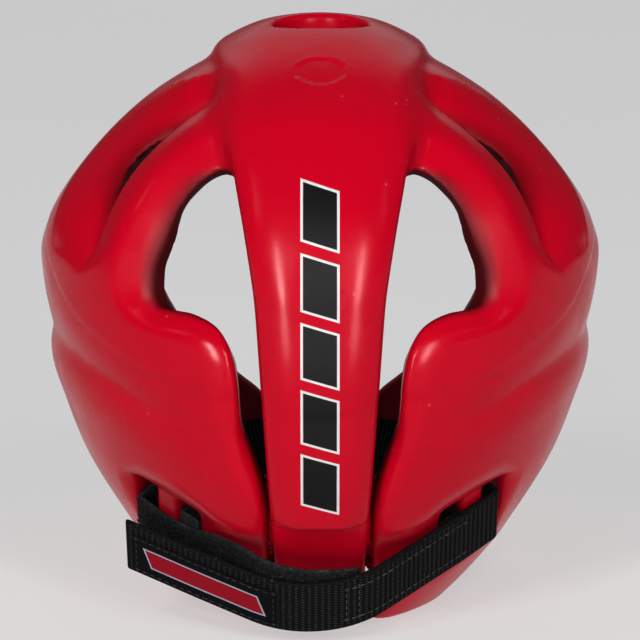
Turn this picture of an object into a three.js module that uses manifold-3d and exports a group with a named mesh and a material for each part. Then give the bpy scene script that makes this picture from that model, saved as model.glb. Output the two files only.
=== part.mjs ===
// Moulded foam head guard with fastened closing straps, millimetres, +Z up.
// +Y is the way the wearer faces, +X the wearer's right. The head frame has its origin at the widest
// level of the head; the exported group lifts it so that the guard stands on z = 0.
import * as THREE from 'three';
import { mergeVertices } from 'three/addons/utils/BufferGeometryUtils.js';
import Module from 'manifold-3d';

// Driving dimensions of the foam form
const HEAD_HALF = 105; // half width at the widest level
const HEAD_REAR = 120; // widest level to the back
const HEAD_FRONT = 122; // widest level to the forehead
const WIDEST = -8; // level at which the dome starts
const DOME = 78; // height of the dome above that level
const WALL = 15; // foam thickness
const FLOOR = -138; // level of the surface that the guard stands on
const CENTRE_Y = 2.2; // shift that puts the origin under the middle of the guard

// Sections from the dome down: half width, back, middle of the curve and front
const SECTIONS = [
  { z: WIDEST, half: HEAD_HALF, rear: -HEAD_REAR, mid: 0, front: HEAD_FRONT },
  { z: -40, half: 102, rear: -119, mid: 3, front: 122 },
  { z: -80, half: 91, rear: -107.5, mid: 10, front: 117 },
  { z: -113, half: 73, rear: -88, mid: 18, front: 104 },
  { z: -125, half: 64.5, rear: -78, mid: 22, front: 97 },
  { z: -137, half: 55, rear: -68, mid: 26, front: 90 },
  { z: -155, half: 40, rear: -48, mid: 32, front: 76 },
];

// Raised crown and tongue
const CROWN_LIFT = 8.5;
const TONGUE_LIFT = 3.5;
const TONGUE_END = -128;
const TONGUE_STEP_H = -22; // strap-frame level of the step on the tongue
const TONGUE_RECESS_Y = -133; // strap-frame depth of the recess below the step, at the middle
const TONGUE_RECESS_EDGE = -128; // and past its sides
const VENT_RADIUS = 17.3;
const VENT_Y = -5;
const GATE_RADIUS = 9.6;
const GATE_DEPTH = 0.8;
const GATE_Y = -63;
const GATE_TIP = 22.6; // degrees, square to the crown at that place

// Half width of the crown along y, seen from above, and how it narrows up its bevelled sides
const CROWN_PLAN = [
  { y: -118, half: 31 },
  { y: -92, half: 32.5 },
  { y: -50, half: 36.5 },
  { y: 0, half: 43 },
  { y: 42, half: 40 },
  { y: 62, half: 22 },
];
const CROWN_LOW = 46;
const CROWN_BEVEL = 64; // level at which the sides start to slope in
const CROWN_NARROWING = 0.028; // share of the width lost for each millimetre above that

// Half width of the tongue along z, seen from behind
const TONGUE_REAR = [
  { z: 46, half: 32.5 },
  { z: 34, half: 30.5 },
  { z: 18, half: 27 },
  { z: -6, half: 23 },
  { z: -43, half: 20.5 },
  { z: -90, half: 19.6 },
  { z: TONGUE_END, half: 19 },
];

// Openings as directions from the middle of the head: degrees round from the back, degrees up
const REAR_WINDOW = [
  { turn: 0, rise: 19.2 },
  { turn: 22, rise: 19.2 },
  { turn: 25, rise: 17 },
  { turn: 28, rise: 12.7 },
  { turn: 30.2, rise: 7.6 },
  { turn: 31.6, rise: 2.8 },
  { turn: 32, rise: -1.2 },
  { turn: 31, rise: -3.8 },
  { turn: 28.5, rise: -4.8 },
  { turn: 20, rise: -6.8 },
  { turn: 16.7, rise: -8.2 },
  { turn: 15, rise: -10.5 },
  { turn: 0, rise: -10.5 },
];
const RIB_SLOT = [
  { turn: 36, rise: 44 },
  { turn: 36, rise: 37 },
  { turn: 40, rise: 27 },
  { turn: 42.8, rise: 15 },
  { turn: 45, rise: 6.5 },
  { turn: 50, rise: 0 },
  { turn: 58, rise: -0.5 },
  { turn: 65, rise: 4.5 },
  { turn: 67.5, rise: 13 },
  { turn: 66.5, rise: 25 },
  { turn: 67, rise: 38 },
  { turn: 61, rise: 47.5 },
  { turn: 49, rise: 51 },
  { turn: 40, rise: 49.5 },
];

// Half width of the space round the tongue, between the two lobes
const LOBE_GAP = [
  { z: -12, half: 32 },
  { z: -22, half: 30.8 },
  { z: -34, half: 28.8 },
  { z: -62, half: 26 },
  { z: -85, half: 24 },
  { z: -105, half: 22.8 },
  { z: -160, half: 22.8 },
];
const EAR_TURN = 101;
const EAR_RISE = -22;
const EAR_HALF_TURN = 10;
const EAR_HALF_RISE = 13;

// Face opening and chin gap, right half seen from the front
const FACE_OUTLINE = [
  { x: 0, z: 8 },
  { x: 36, z: 6 },
  { x: 58, z: -5 },
  { x: 66, z: -24 },
  { x: 60, z: -46 },
  { x: 44, z: -68 },
  { x: 31, z: -82 },
  { x: 25, z: -97 },
  { x: 24, z: -118 },
  { x: 24, z: -170 },
];

// Arch of the lower rim between the rear lobes and the jaw ends, seen from the side
const RIM_ARCH = [
  { y: -30, z: FLOOR - 4 },
  { y: -18, z: -131 },
  { y: 2, z: -121 },
  { y: 26, z: -121 },
  { y: 42, z: -131 },
  { y: 50, z: FLOOR - 4 },
];

// Straps lie in a frame that is tipped about X: the webbing is straight up in it
const STRAP_TIP = 32; // degrees
const STRAP_WIDTH = 25;
const STRAP_THICK = 2.2;
const STRAP_GAP = 0.4;
const HOOK_LOW = -65; // lower edge of the hook strap in the strap frame
const LOOP_LOW = -61.5; // lower edge of the loop strap in the strap frame
const RUN_ANGLE = 42.8; // degrees between the runs over the lobes and the x axis
const HOOK_ARC_RADIUS = 42; // outer face of the hook strap round the back
const HOOK_ARC_X = -3;
const HOOK_ARC_Y = -105.3;
const TAIL_ANGLE = 28.5; // degrees between the free end and the x axis
const TAIL_LENGTH = 54;
const LOOP_ARC_RADIUS = 32.4; // outer face of the loop strap round the back
const LOOP_ARC_X = -3.5;
const LOOP_ARC_Y = -112.3;
const LOOP_END_ANGLE = 15; // degrees past the middle at which the loop strap ends
const SEWN_LENGTH = 22; // turned-back end under each run
const BAR_X = 54.5; // middle of the bar on the outer face of the run
const BAR_HALF = 5.5;
const BAR_THICK = 9.5;
const SLOT_INNER = 9; // width of the slot on the tongue side of the bar
const SLOT_OUTER = 10; // width of the slot on the face side of the bar
const SLOT_LOW = -68;
const SLOT_HIGH = -33.5;
const CHANNEL_TOP = -34; // level of the step above the strap channel

// Floor of the strap channel on a lobe, in the strap frame
const CHANNEL_FLOOR = [
  { x: 20, y: -127 },
  { x: 36, y: -119 },
  { x: 44, y: -112 },
  { x: 66, y: -94.5 },
  { x: 78, y: -87 },
];

const LABEL_LENGTH = 47;
const LABEL_WIDTH = 18;
const LABEL_THICK = 0.7;
const LABEL_INSET = 4; // from the free end of the hook strap
const LABEL_LOW = HOOK_LOW + 2.5;

const CHIN_LOW = -120;
const CHIN_HIGH = -95;
const CHIN_THICK = 2;
const CHIN_GAP = 0.7; // to the foam, which is faceted
const CHIN_TURN = 56; // degrees to each side of the front

// Fineness of the round forms
const OUTER_SEGMENTS = 48;
const INNER_SEGMENTS = 36;
const CROWN_SEGMENTS = 56;
const LOWER_STEPS = 11;
const DOME_STEPS = 8;
const OUTLINE_STEPS = 28;
const CURVE_STEPS = 10;
const ROUND_STEPS = 28;
const HOOK_ARC_STEPS = 12;
const LOOP_ARC_STEPS = 10;
const FOLD_STEPS = 3; // for each quarter turn round a bar
const CHIN_STEPS = 24;
const CHIN_ROWS = 5;

// Reach of cutters: beyond the guard, and how far from the middle the front and back ones start
const BEYOND = 200;
const FACE_SPLIT = 30;

const RED = 0xc20f1c;
const BLACK = 0x161618;

const wasm = await Module();
wasm.setup();

const radians = THREE.MathUtils.degToRad;

// Closed three.js geometry to a solid that can be joined and cut
function solidOf(geometry) {
  const bare = geometry.clone();
  bare.deleteAttribute('normal');
  bare.deleteAttribute('uv');
  const merged = mergeVertices(bare, 1e-4);
  return new wasm.Manifold(new wasm.Mesh({
    numProp: 3,
    vertProperties: new Float32Array(merged.attributes.position.array),
    triVerts: new Uint32Array(merged.index.array),
  }));
}

// Solid back to a geometry for a mesh
function geometryOf(solid) {
  const { vertProperties, triVerts, numProp } = solid.getMesh();
  const geometry = new THREE.BufferGeometry();
  const positions = new Float32Array((vertProperties.length / numProp) * 3);
  for (let i = 0; i < positions.length / 3; i += 1) {
    positions.set(vertProperties.subarray(i * numProp, i * numProp + 3), i * 3);
  }
  geometry.setAttribute('position', new THREE.BufferAttribute(positions, 3));
  geometry.setIndex(new THREE.BufferAttribute(new Uint32Array(triVerts), 1));
  geometry.computeVertexNormals();
  return geometry;
}

// Moves every vertex of a geometry by a function of its place
function reshape(geometry, place) {
  const position = geometry.attributes.position;
  const point = new THREE.Vector3();
  for (let i = 0; i < position.count; i += 1) {
    point.fromBufferAttribute(position, i);
    place(point);
    position.setXYZ(i, point.x, point.y, point.z);
  }
  return geometry;
}

// Slope of a table column at one row, level at the first row
function tableSlope(rows, row, column) {
  if (row === 0) {
    return 0;
  }
  const before = rows[row - 1];
  const after = rows[Math.min(row + 1, rows.length - 1)];
  return (after[column] - before[column]) / (after.z - before.z);
}

// Smooth value of a section table column at a level
function tableValue(rows, z, column) {
  let row = 0;
  while (row < rows.length - 2 && z < rows[row + 1].z) {
    row += 1;
  }
  const span = rows[row + 1].z - rows[row].z;
  const t = (z - rows[row].z) / span;
  const rise = tableSlope(rows, row, column) * span;
  const fall = tableSlope(rows, row + 1, column) * span;
  const start = rows[row][column];
  const end = rows[row + 1][column];
  const square = t * t;
  const cube = square * t;
  return (2 * cube - 3 * square + 1) * start + (cube - 2 * square + t) * rise
    + (3 * square - 2 * cube) * end + (cube - square) * fall;
}

// Point of the head form: place round the section from the back, level, growth of the form
function formPoint(across, along, z, growth) {
  const level = Math.min(z, WIDEST);
  const half = tableValue(SECTIONS, level, 'half');
  const rear = tableValue(SECTIONS, level, 'rear');
  const mid = tableValue(SECTIONS, level, 'mid');
  const front = tableValue(SECTIONS, level, 'front');
  const reach = along < 0 ? mid - rear + growth.back : front - mid + growth.front;
  return new THREE.Vector3(across * (half + growth.side), mid + along * reach, z);
}

// Whole head form grown outwards: a lathe of unit radius, stretched by the section table
function headForm(growth, segments) {
  const lowest = SECTIONS[SECTIONS.length - 1].z;
  const height = DOME + growth.top;
  const profile = [new THREE.Vector2(0, lowest)];
  for (let i = 0; i <= LOWER_STEPS; i += 1) {
    profile.push(new THREE.Vector2(1, lowest + ((WIDEST - lowest) * i) / LOWER_STEPS));
  }
  for (let i = 1; i < DOME_STEPS; i += 1) {
    const angle = (i / DOME_STEPS) * Math.PI / 2;
    profile.push(new THREE.Vector2(Math.cos(angle), WIDEST + height * Math.sin(angle)));
  }
  profile.push(new THREE.Vector2(0, WIDEST + height));
  const lathe = new THREE.LatheGeometry(profile, segments).rotateX(Math.PI / 2);
  return solidOf(reshape(lathe, (p) => p.copy(formPoint(p.x, p.y, p.z, growth))));
}

// The same growth all round
function evenGrowth(size) {
  return { side: size, back: size, front: size, top: size };
}

// Smooth closed outline through points, as a shape
function smoothShape(points, count) {
  const curve = new THREE.CatmullRomCurve3(points.map((p) => new THREE.Vector3(p.x, p.y, 0)), true);
  return new THREE.Shape(curve.getPoints(count).slice(0, -1).map((p) => new THREE.Vector2(p.x, p.y)));
}

function cornerShape(points) {
  return new THREE.Shape(points.map((p) => new THREE.Vector2(p.x, p.y)));
}

function extruded(shape, low, high, steps = 1) {
  const options = { depth: high - low, bevelEnabled: false, curveSegments: CURVE_STEPS, steps };
  return new THREE.ExtrudeGeometry(shape, options).translate(0, 0, low);
}

// Right half outline and its mirror as one run of points
function bothSides(points) {
  const mirrored = points.filter((p) => p.x !== 0).map((p) => ({ x: -p.x, y: p.y }));
  return [...points, ...mirrored.reverse()];
}

// Cutter through the wall whose sides run straight to the middle of the head
function radialCutter(shape) {
  const nearest = 35;
  const furthest = 190;
  return solidOf(reshape(extruded(shape, 0, 1), (p) => {
    const reach = nearest + p.z * (furthest - nearest);
    const turn = radians(p.x);
    const rise = radians(p.y);
    p.set(Math.sin(turn) * Math.cos(rise), -Math.cos(turn) * Math.cos(rise), Math.sin(rise));
    p.multiplyScalar(reach);
  }));
}

// Prism along y from an outline in x and z
function prismAlongY(shape, low, high) {
  return solidOf(extruded(shape, -high, -low).rotateX(Math.PI / 2));
}

// Prism along x from an outline in y and z
function prismAlongX(shape, low, high) {
  return solidOf(extruded(shape, low, high).rotateX(Math.PI / 2).rotateZ(Math.PI / 2));
}

// Prism in the strap frame from an outline in its x and y
function strapPrism(shape, low, high) {
  return solidOf(extruded(shape, low, high).rotateX(radians(STRAP_TIP)));
}

function upright(radius, x, y, low, high) {
  const cylinder = new THREE.CylinderGeometry(radius, radius, high - low, ROUND_STEPS).rotateX(Math.PI / 2);
  return solidOf(cylinder.translate(x, y, (low + high) / 2));
}

// Strap frame directions beside the bar: along the run and out of the foam
const alongRun = new THREE.Vector2(Math.cos(radians(RUN_ANGLE)), Math.sin(radians(RUN_ANGLE)));
const outOfRun = new THREE.Vector2(alongRun.y, -alongRun.x);

// Place where a strap's outer face leaves its arc for the run over the lobe
function runStart(arcX, arcY, radius, side) {
  return new THREE.Vector2(arcX + side * radius * outOfRun.x, arcY + radius * outOfRun.y);
}

const hookRunStart = runStart(HOOK_ARC_X, HOOK_ARC_Y, HOOK_ARC_RADIUS, 1);
const barOrigin = new THREE.Vector2(
  BAR_X,
  hookRunStart.y + (BAR_X - hookRunStart.x) * alongRun.y / alongRun.x,
);

// Point beside the right bar, mirrored for the left one
function besideBar(along, out, side) {
  const p = barOrigin.clone().addScaledVector(alongRun, along).addScaledVector(outOfRun, out);
  return new THREE.Vector2(p.x * side, p.y);
}

function barBlock(alongLow, alongHigh, outLow, outHigh, side) {
  return cornerShape([
    besideBar(alongLow, outLow, side),
    besideBar(alongHigh, outLow, side),
    besideBar(alongHigh, outHigh, side),
    besideBar(alongLow, outHigh, side),
  ]);
}

const BAR_FACE = -(STRAP_THICK + STRAP_GAP);
const BAR_BACK = BAR_FACE - BAR_THICK;

// Bar with bevelled edges that the strap is folded round
function strapBar(side) {
  const bevel = 2;
  const outline = [
    besideBar(-BAR_HALF + bevel, BAR_FACE, side),
    besideBar(BAR_HALF - bevel, BAR_FACE, side),
    besideBar(BAR_HALF, BAR_FACE - bevel, side),
    besideBar(BAR_HALF, BAR_BACK + bevel, side),
    besideBar(BAR_HALF - bevel, BAR_BACK, side),
    besideBar(-BAR_HALF + bevel, BAR_BACK, side),
    besideBar(-BAR_HALF, BAR_BACK + bevel, side),
    besideBar(-BAR_HALF, BAR_FACE - bevel, side),
  ];
  const overlap = 5;
  return strapPrism(cornerShape(outline), SLOT_LOW - overlap, SLOT_HIGH + overlap);
}

// Window in the wall for the two strap slots, before the bar goes back in
function slotWindow(side) {
  const inside = -32;
  const outside = 25;
  const block = barBlock(-BAR_HALF - SLOT_INNER, BAR_HALF + SLOT_OUTER, inside, outside, side);
  return strapPrism(block, SLOT_LOW, SLOT_HIGH);
}

// Cut that lays the strap channel into one rear lobe
function strapChannel(side) {
  const floor = CHANNEL_FLOOR.map((p) => ({ x: side * p.x, y: p.y }));
  const first = floor[0];
  const last = floor[floor.length - 1];
  return strapPrism(
    cornerShape([...floor, { x: last.x, y: -BEYOND }, { x: first.x, y: -BEYOND }]),
    -BEYOND,
    CHANNEL_TOP,
  );
}

// Mirror of an outline of directions
function directions(points, side) {
  return points.map((p) => ({ x: side * p.turn, y: p.rise }));
}

function earShape(side) {
  const shape = new THREE.Shape();
  shape.absellipse(side * EAR_TURN, EAR_RISE, EAR_HALF_TURN, EAR_HALF_RISE, 0, Math.PI * 2);
  return shape;
}

// Prism over the crown's plan whose sides slope in above the bevel level
function crownPrism() {
  const plan = smoothShape(bothSides(CROWN_PLAN.map((p) => ({ x: p.half, y: p.y }))), OUTLINE_STEPS);
  const high = CROWN_LOW + 2 * (CROWN_BEVEL - CROWN_LOW);
  return solidOf(reshape(extruded(plan, CROWN_LOW, high, 2), (p) => {
    p.x *= 1 - CROWN_NARROWING * Math.max(p.z - CROWN_BEVEL, 0);
  }));
}

// Crown and tongue: one raised band of full foam thickness
function crownAndTongue(inner) {
  const growth = { side: CROWN_LIFT, back: TONGUE_LIFT, front: TONGUE_LIFT, top: CROWN_LIFT };
  const raised = headForm(growth, CROWN_SEGMENTS).subtract(inner);
  const rear = cornerShape(bothSides(TONGUE_REAR.map((p) => ({ x: p.half, y: p.z }))));
  const tongue = raised.intersect(prismAlongY(rear, -BEYOND, -FACE_SPLIT));
  const wide = 2 * TONGUE_REAR[0].half;
  const recess = cornerShape([
    { x: -wide, y: -BEYOND },
    { x: wide, y: -BEYOND },
    { x: wide, y: TONGUE_RECESS_EDGE },
    { x: 0, y: TONGUE_RECESS_Y },
    { x: -wide, y: TONGUE_RECESS_EDGE },
  ]);
  const step = strapPrism(recess, -BEYOND, TONGUE_STEP_H);
  return raised.intersect(crownPrism()).add(tongue.subtract(step));
}

function shellGeometry() {
  const inner = headForm(evenGrowth(-WALL), INNER_SEGMENTS);
  const outer = headForm(evenGrowth(0), OUTER_SEGMENTS);
  let foam = outer.subtract(inner);
  const rearWindow = REAR_WINDOW.map((p) => ({ x: p.turn, y: p.rise }));
  foam = foam.subtract(radialCutter(cornerShape(bothSides(rearWindow))));
  const lobeGap = LOBE_GAP.map((p) => ({ x: p.half, y: p.z }));
  foam = foam.subtract(prismAlongY(cornerShape(bothSides(lobeGap)), -BEYOND, -FACE_SPLIT));
  for (const side of [1, -1]) {
    foam = foam.subtract(radialCutter(smoothShape(directions(RIB_SLOT, side), OUTLINE_STEPS)));
    foam = foam.subtract(radialCutter(earShape(side)));
    foam = foam.subtract(strapChannel(side));
    foam = foam.subtract(slotWindow(side));
  }
  foam = foam.add(crownAndTongue(inner));
  for (const side of [1, -1]) {
    foam = foam.add(strapBar(side).intersect(outer));
  }
  const face = bothSides(FACE_OUTLINE.map((p) => ({ x: p.x, y: p.z })));
  foam = foam.subtract(prismAlongY(cornerShape(face), FACE_SPLIT, BEYOND));
  const arch = cornerShape(RIM_ARCH.map((p) => ({ x: p.y, y: p.z })));
  foam = foam.subtract(prismAlongX(arch, -BEYOND, BEYOND));
  foam = foam.subtract(upright(VENT_RADIUS, 0, VENT_Y, 0, BEYOND));
  const gateBack = GATE_Y / (HEAD_REAR + TONGUE_LIFT);
  const gateTop = WIDEST + (DOME + CROWN_LIFT) * Math.sqrt(1 - gateBack * gateBack);
  const gate = upright(GATE_RADIUS, 0, 0, -GATE_DEPTH, GATE_RADIUS).rotate([GATE_TIP, 0, 0]);
  foam = foam.subtract(gate.translate([0, GATE_Y, gateTop]));
  const below = new THREE.BoxGeometry(2 * BEYOND, 2 * BEYOND, BEYOND).translate(0, 0, FLOOR - BEYOND / 2);
  return geometryOf(foam.subtract(solidOf(below)));
}

// Outline of a band of even thickness: its outer face is the given run of points
function bandShape(outerFace, thickness) {
  const inward = [];
  for (let i = 0; i < outerFace.length; i += 1) {
    const before = outerFace[Math.max(i - 1, 0)];
    const after = outerFace[Math.min(i + 1, outerFace.length - 1)];
    const first = outerFace[i].clone().sub(before).normalize();
    const second = after.clone().sub(outerFace[i]).normalize();
    const tangent = first.add(second).normalize();
    inward.push(outerFace[i].clone().add(new THREE.Vector2(-tangent.y, tangent.x).multiplyScalar(thickness)));
  }
  return cornerShape([...outerFace, ...inward.reverse()]);
}

// Points of an arc, in degrees from straight back, positive to +X
function arcPoints(x, y, radius, from, to, steps) {
  const points = [];
  for (let i = 0; i <= steps; i += 1) {
    const angle = radians(from + ((to - from) * i) / steps);
    points.push(new THREE.Vector2(x + radius * Math.sin(angle), y - radius * Math.cos(angle)));
  }
  return points;
}

// Fold round a bar, from the run's outer face to the middle of the slot on the tongue side
function foldPoints(side) {
  const corner = 2.6;
  const clear = STRAP_GAP + STRAP_THICK;
  const right = BAR_HALF + clear;
  const left = -BAR_HALF - clear;
  const back = BAR_BACK - clear;
  const points = [];
  const turns = [
    { along: right - corner, out: -corner, from: 90 },
    { along: right - corner, out: back + corner, from: 0 },
    { along: left + corner, out: back + corner, from: -90 },
  ];
  for (const turn of turns) {
    for (let i = 0; i <= FOLD_STEPS; i += 1) {
      const angle = radians(turn.from - (90 * i) / FOLD_STEPS);
      const along = turn.along + corner * Math.cos(angle);
      const out = turn.out + corner * Math.sin(angle);
      points.push(besideBar(along, out, side));
    }
  }
  points.push(besideBar(left, -corner - STRAP_THICK, side));
  return points;
}

// Turned-back end that is sewn under the run
function sewnEnd(side) {
  const left = -BAR_HALF - STRAP_GAP - STRAP_THICK;
  const lapped = 0.15;
  return cornerShape([
    besideBar(left, lapped - STRAP_THICK, side),
    besideBar(left - SEWN_LENGTH, lapped - STRAP_THICK, side),
    besideBar(left - SEWN_LENGTH, lapped - 2 * STRAP_THICK, side),
    besideBar(left, lapped - 2 * STRAP_THICK, side),
    besideBar(left, -BAR_THICK, side),
    besideBar(left + STRAP_THICK, -BAR_THICK, side),
    besideBar(left + STRAP_THICK, lapped - STRAP_THICK, side),
  ]);
}

// Strap solid in the strap frame: run with its fold, joined to its sewn end
function strapGeometry(outerFace, side, low) {
  const high = low + STRAP_WIDTH;
  const run = side > 0 ? outerFace : outerFace.reverse();
  const band = solidOf(extruded(bandShape(run, STRAP_THICK), low, high));
  return geometryOf(band.add(solidOf(extruded(sewnEnd(side), low, high))));
}

function hookTailEnd() {
  const tail = radians(TAIL_ANGLE);
  const start = arcPoints(HOOK_ARC_X, HOOK_ARC_Y, HOOK_ARC_RADIUS, -TAIL_ANGLE, 0, 1)[0];
  return new THREE.Vector2(start.x - TAIL_LENGTH * Math.cos(tail), start.y + TAIL_LENGTH * Math.sin(tail));
}

function hookStrap() {
  const face = [
    hookTailEnd(),
    ...arcPoints(HOOK_ARC_X, HOOK_ARC_Y, HOOK_ARC_RADIUS, -TAIL_ANGLE, RUN_ANGLE, HOOK_ARC_STEPS),
    ...foldPoints(1),
  ];
  return strapGeometry(face, 1, HOOK_LOW);
}

function loopStrap() {
  const face = [
    ...arcPoints(LOOP_ARC_X, LOOP_ARC_Y, LOOP_ARC_RADIUS, LOOP_END_ANGLE, -RUN_ANGLE, LOOP_ARC_STEPS),
    ...foldPoints(-1),
  ];
  return strapGeometry(face, -1, LOOP_LOW);
}

// Flat label on the free end of the hook strap
function strapLabel() {
  const tail = radians(TAIL_ANGLE);
  const along = new THREE.Vector2(Math.cos(tail), -Math.sin(tail));
  const out = new THREE.Vector2(-Math.sin(tail), -Math.cos(tail));
  const start = hookTailEnd().addScaledVector(along, LABEL_INSET).addScaledVector(out, STRAP_GAP);
  const end = start.clone().addScaledVector(along, LABEL_LENGTH);
  const shape = cornerShape([
    start,
    end,
    end.clone().addScaledVector(out, LABEL_THICK),
    start.clone().addScaledVector(out, LABEL_THICK),
  ]);
  return extruded(shape, LABEL_LOW, LABEL_LOW + LABEL_WIDTH);
}

// Chin band that lies inside the jaw ends and crosses the gap between them
function chinStrap() {
  const box = new THREE.BoxGeometry(1, 1, 1, CHIN_STEPS, 1, CHIN_ROWS);
  const face = -WALL - CHIN_GAP;
  return reshape(box, (p) => {
    const turn = radians(2 * CHIN_TURN * p.x);
    const z = CHIN_LOW + (p.z + 0.5) * (CHIN_HIGH - CHIN_LOW);
    const growth = evenGrowth(face + (p.y - 0.5) * CHIN_THICK);
    p.copy(formPoint(Math.sin(turn), Math.cos(turn), z, growth));
  });
}

function material(color, roughness) {
  return new THREE.MeshStandardMaterial({ color, roughness, metalness: 0 });
}

function piece(name, geometry, finish) {
  const mesh = new THREE.Mesh(geometry, finish);
  mesh.name = name;
  return mesh;
}

const straps = new THREE.Group();
straps.rotation.x = radians(STRAP_TIP);
straps.add(
  piece('hook_strap', hookStrap(), material(BLACK, 0.8)),
  piece('loop_strap', loopStrap(), material(BLACK, 0.95)),
  piece('strap_label', strapLabel(), material(BLACK, 0.6)),
);

const guard = new THREE.Group();
guard.position.set(0, CENTRE_Y, -FLOOR);
guard.add(
  piece('shell', shellGeometry(), material(RED, 0.4)),
  piece('chin_strap', chinStrap(), material(BLACK, 0.8)),
  straps,
);

export default guard;
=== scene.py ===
"""Moulded foam head guard with its closing straps, dressed for a plain studio."""
import math

import bmesh
import bpy
import numpy as np
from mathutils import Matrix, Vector


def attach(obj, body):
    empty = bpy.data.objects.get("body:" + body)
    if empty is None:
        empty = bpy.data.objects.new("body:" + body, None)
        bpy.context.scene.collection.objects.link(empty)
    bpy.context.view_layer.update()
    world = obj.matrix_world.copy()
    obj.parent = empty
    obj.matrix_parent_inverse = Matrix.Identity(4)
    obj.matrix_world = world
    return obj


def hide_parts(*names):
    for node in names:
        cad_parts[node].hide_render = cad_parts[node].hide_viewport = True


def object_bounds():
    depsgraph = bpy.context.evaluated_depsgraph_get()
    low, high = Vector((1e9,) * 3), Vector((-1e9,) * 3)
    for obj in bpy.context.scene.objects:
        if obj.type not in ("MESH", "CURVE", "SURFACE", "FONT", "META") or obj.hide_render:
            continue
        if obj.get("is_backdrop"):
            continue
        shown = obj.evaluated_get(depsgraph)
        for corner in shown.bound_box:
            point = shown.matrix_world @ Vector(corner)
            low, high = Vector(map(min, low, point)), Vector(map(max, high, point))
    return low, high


bl_info = {
    "name": "Foam Head Guard",
    "version": (1, 0, 0),
    "blender": (4, 5, 0),
    "location": "View3D > Sidebar > Head Guard",
    "description": "Builds a moulded foam head guard with webbing straps on its packed solids",
    "category": "Object",
}

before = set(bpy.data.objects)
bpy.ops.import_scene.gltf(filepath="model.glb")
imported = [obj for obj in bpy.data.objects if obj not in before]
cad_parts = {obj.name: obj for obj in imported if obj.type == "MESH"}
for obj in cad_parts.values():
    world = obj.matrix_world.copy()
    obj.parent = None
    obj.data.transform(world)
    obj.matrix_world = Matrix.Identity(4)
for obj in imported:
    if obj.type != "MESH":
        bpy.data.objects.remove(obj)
CAD_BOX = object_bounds()

MM = 0.001
# Head frame, in which the forms are given, to the part's own frame, in millimetres
REST = np.array([0.0, 2.2, 138.0])

# Sections of the head form: level, half width, back, middle of the curve, front
SECTIONS = (
    (-8.0, 105.0, -120.0, 0.0, 122.0),
    (-40.0, 102.0, -119.0, 3.0, 122.0),
    (-80.0, 91.0, -107.5, 10.0, 117.0),
    (-113.0, 73.0, -88.0, 18.0, 104.0),
    (-125.0, 64.5, -78.0, 22.0, 97.0),
    (-137.0, 55.0, -68.0, 26.0, 90.0),
    (-155.0, 40.0, -48.0, 32.0, 76.0),
)
WIDEST = SECTIONS[0][0]
FLOOR_LEVEL = -138.0

# Crown seen from above: y, half width
CROWN_PLAN = ((-118, 31), (-92, 32.5), (-50, 35.5), (0, 40.5), (42, 38), (62, 22))
# Tongue seen from behind: level, half width
TONGUE_HALF = (
    (-128, 15.6), (-105, 16.6), (-72, 18.7), (-43, 20.5), (-6, 23), (18, 27), (34, 30.5), (46, 32.5),
)
# Rear opening as directions from the middle of the head: degrees round from the back, degrees up
REAR_OPENING = (
    (-12, 20.4), (0, 20.4), (12, 20.4), (20, 20.5), (23, 19.8), (25.6, 17.6), (28.3, 13.2), (30.5, 7),
    (32.1, 2.5), (33, -0.5), (33.1, -3), (31.8, -4.6), (28.6, -5.1), (25.6, -5.5), (21, -6.4), (18, -7.8),
    (16, -10.2), (14.8, -13.2), (14.4, -16), (14.2, -18.8), (14.2, -22.4), (14, -26.5), (13.2, -31),
    (11.6, -37), (11, -43), (11.7, -49), (12.9, -55), (14.6, -61), (15, -66), (-15, -66),
)
# Degrees by which the inner edge of the rear opening is cut back at the ribs, lobes and corner
RIB_UNDERCUT = 3.0
LOBE_UNDERCUT = 2.4
CORNER_UNDERCUT = 4.8
# Bevel towards the rear opening: width, degrees, softness of the bevel, softness of the edge
LOBE_BEVEL = (6.0, 24.0, 3.0, 3.6)
RIB_BEVEL = (16.0, 23.5, 1.2, 2.0)
# Its width and degrees added beside the straps, and levels at which lobes turn into ribs or straps
STRAP_BEVEL = (-0.5, 18.0)
RIB_LEVELS = (-30.0, -10.0)
STRAP_LEVELS = (-62.0, -46.0)
# Outer side of the inner rib: width, degrees, softness
RIB_SIDE = (13.0, math.radians(17.0), 1.2)
# Edge of the tongue: width of its bevels, and share of that width and degrees for each bevel
TONGUE_BEVEL = 8.5
TONGUE_BEVELS = ((1.0, 22.0), (0.42, 46.0))
# Lower end of the tongue, middle of its mould line, and level and depth of its step under the straps
TONGUE_END = -128.0
PARTING_LEVEL = -47.3
RECESS_LEVEL = -23.4
RECESS_DEPTH = -133.0
# Scoop between the ribs: degrees up, degrees round to its two edges, depth at the inner rib
SCOOP = (
    (-4, 52, 62, 0.5), (-1, 50.6, 66, 2), (2, 49.4, 67, 7), (6, 48.8, 70, 14), (9, 48.3, 74, 19),
    (13, 47.8, 79, 22), (18, 47, 83, 24), (24.5, 45, 84, 24), (31.3, 42.5, 84, 20.5), (36, 41, 82, 15.5),
    (40, 40, 77, 12), (44, 39.5, 69, 9), (47, 40, 60, 5), (50, 43, 52, 1), (53, 46, 48, 0),
)
# Planes that flatten the shoulders between dome and side: x, y and z shares, distance
SHOULDER_PLANES = ((0.585, 0.086, 0.806, 78.2), (0.811, 0.042, 0.583, 87.2))
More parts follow.
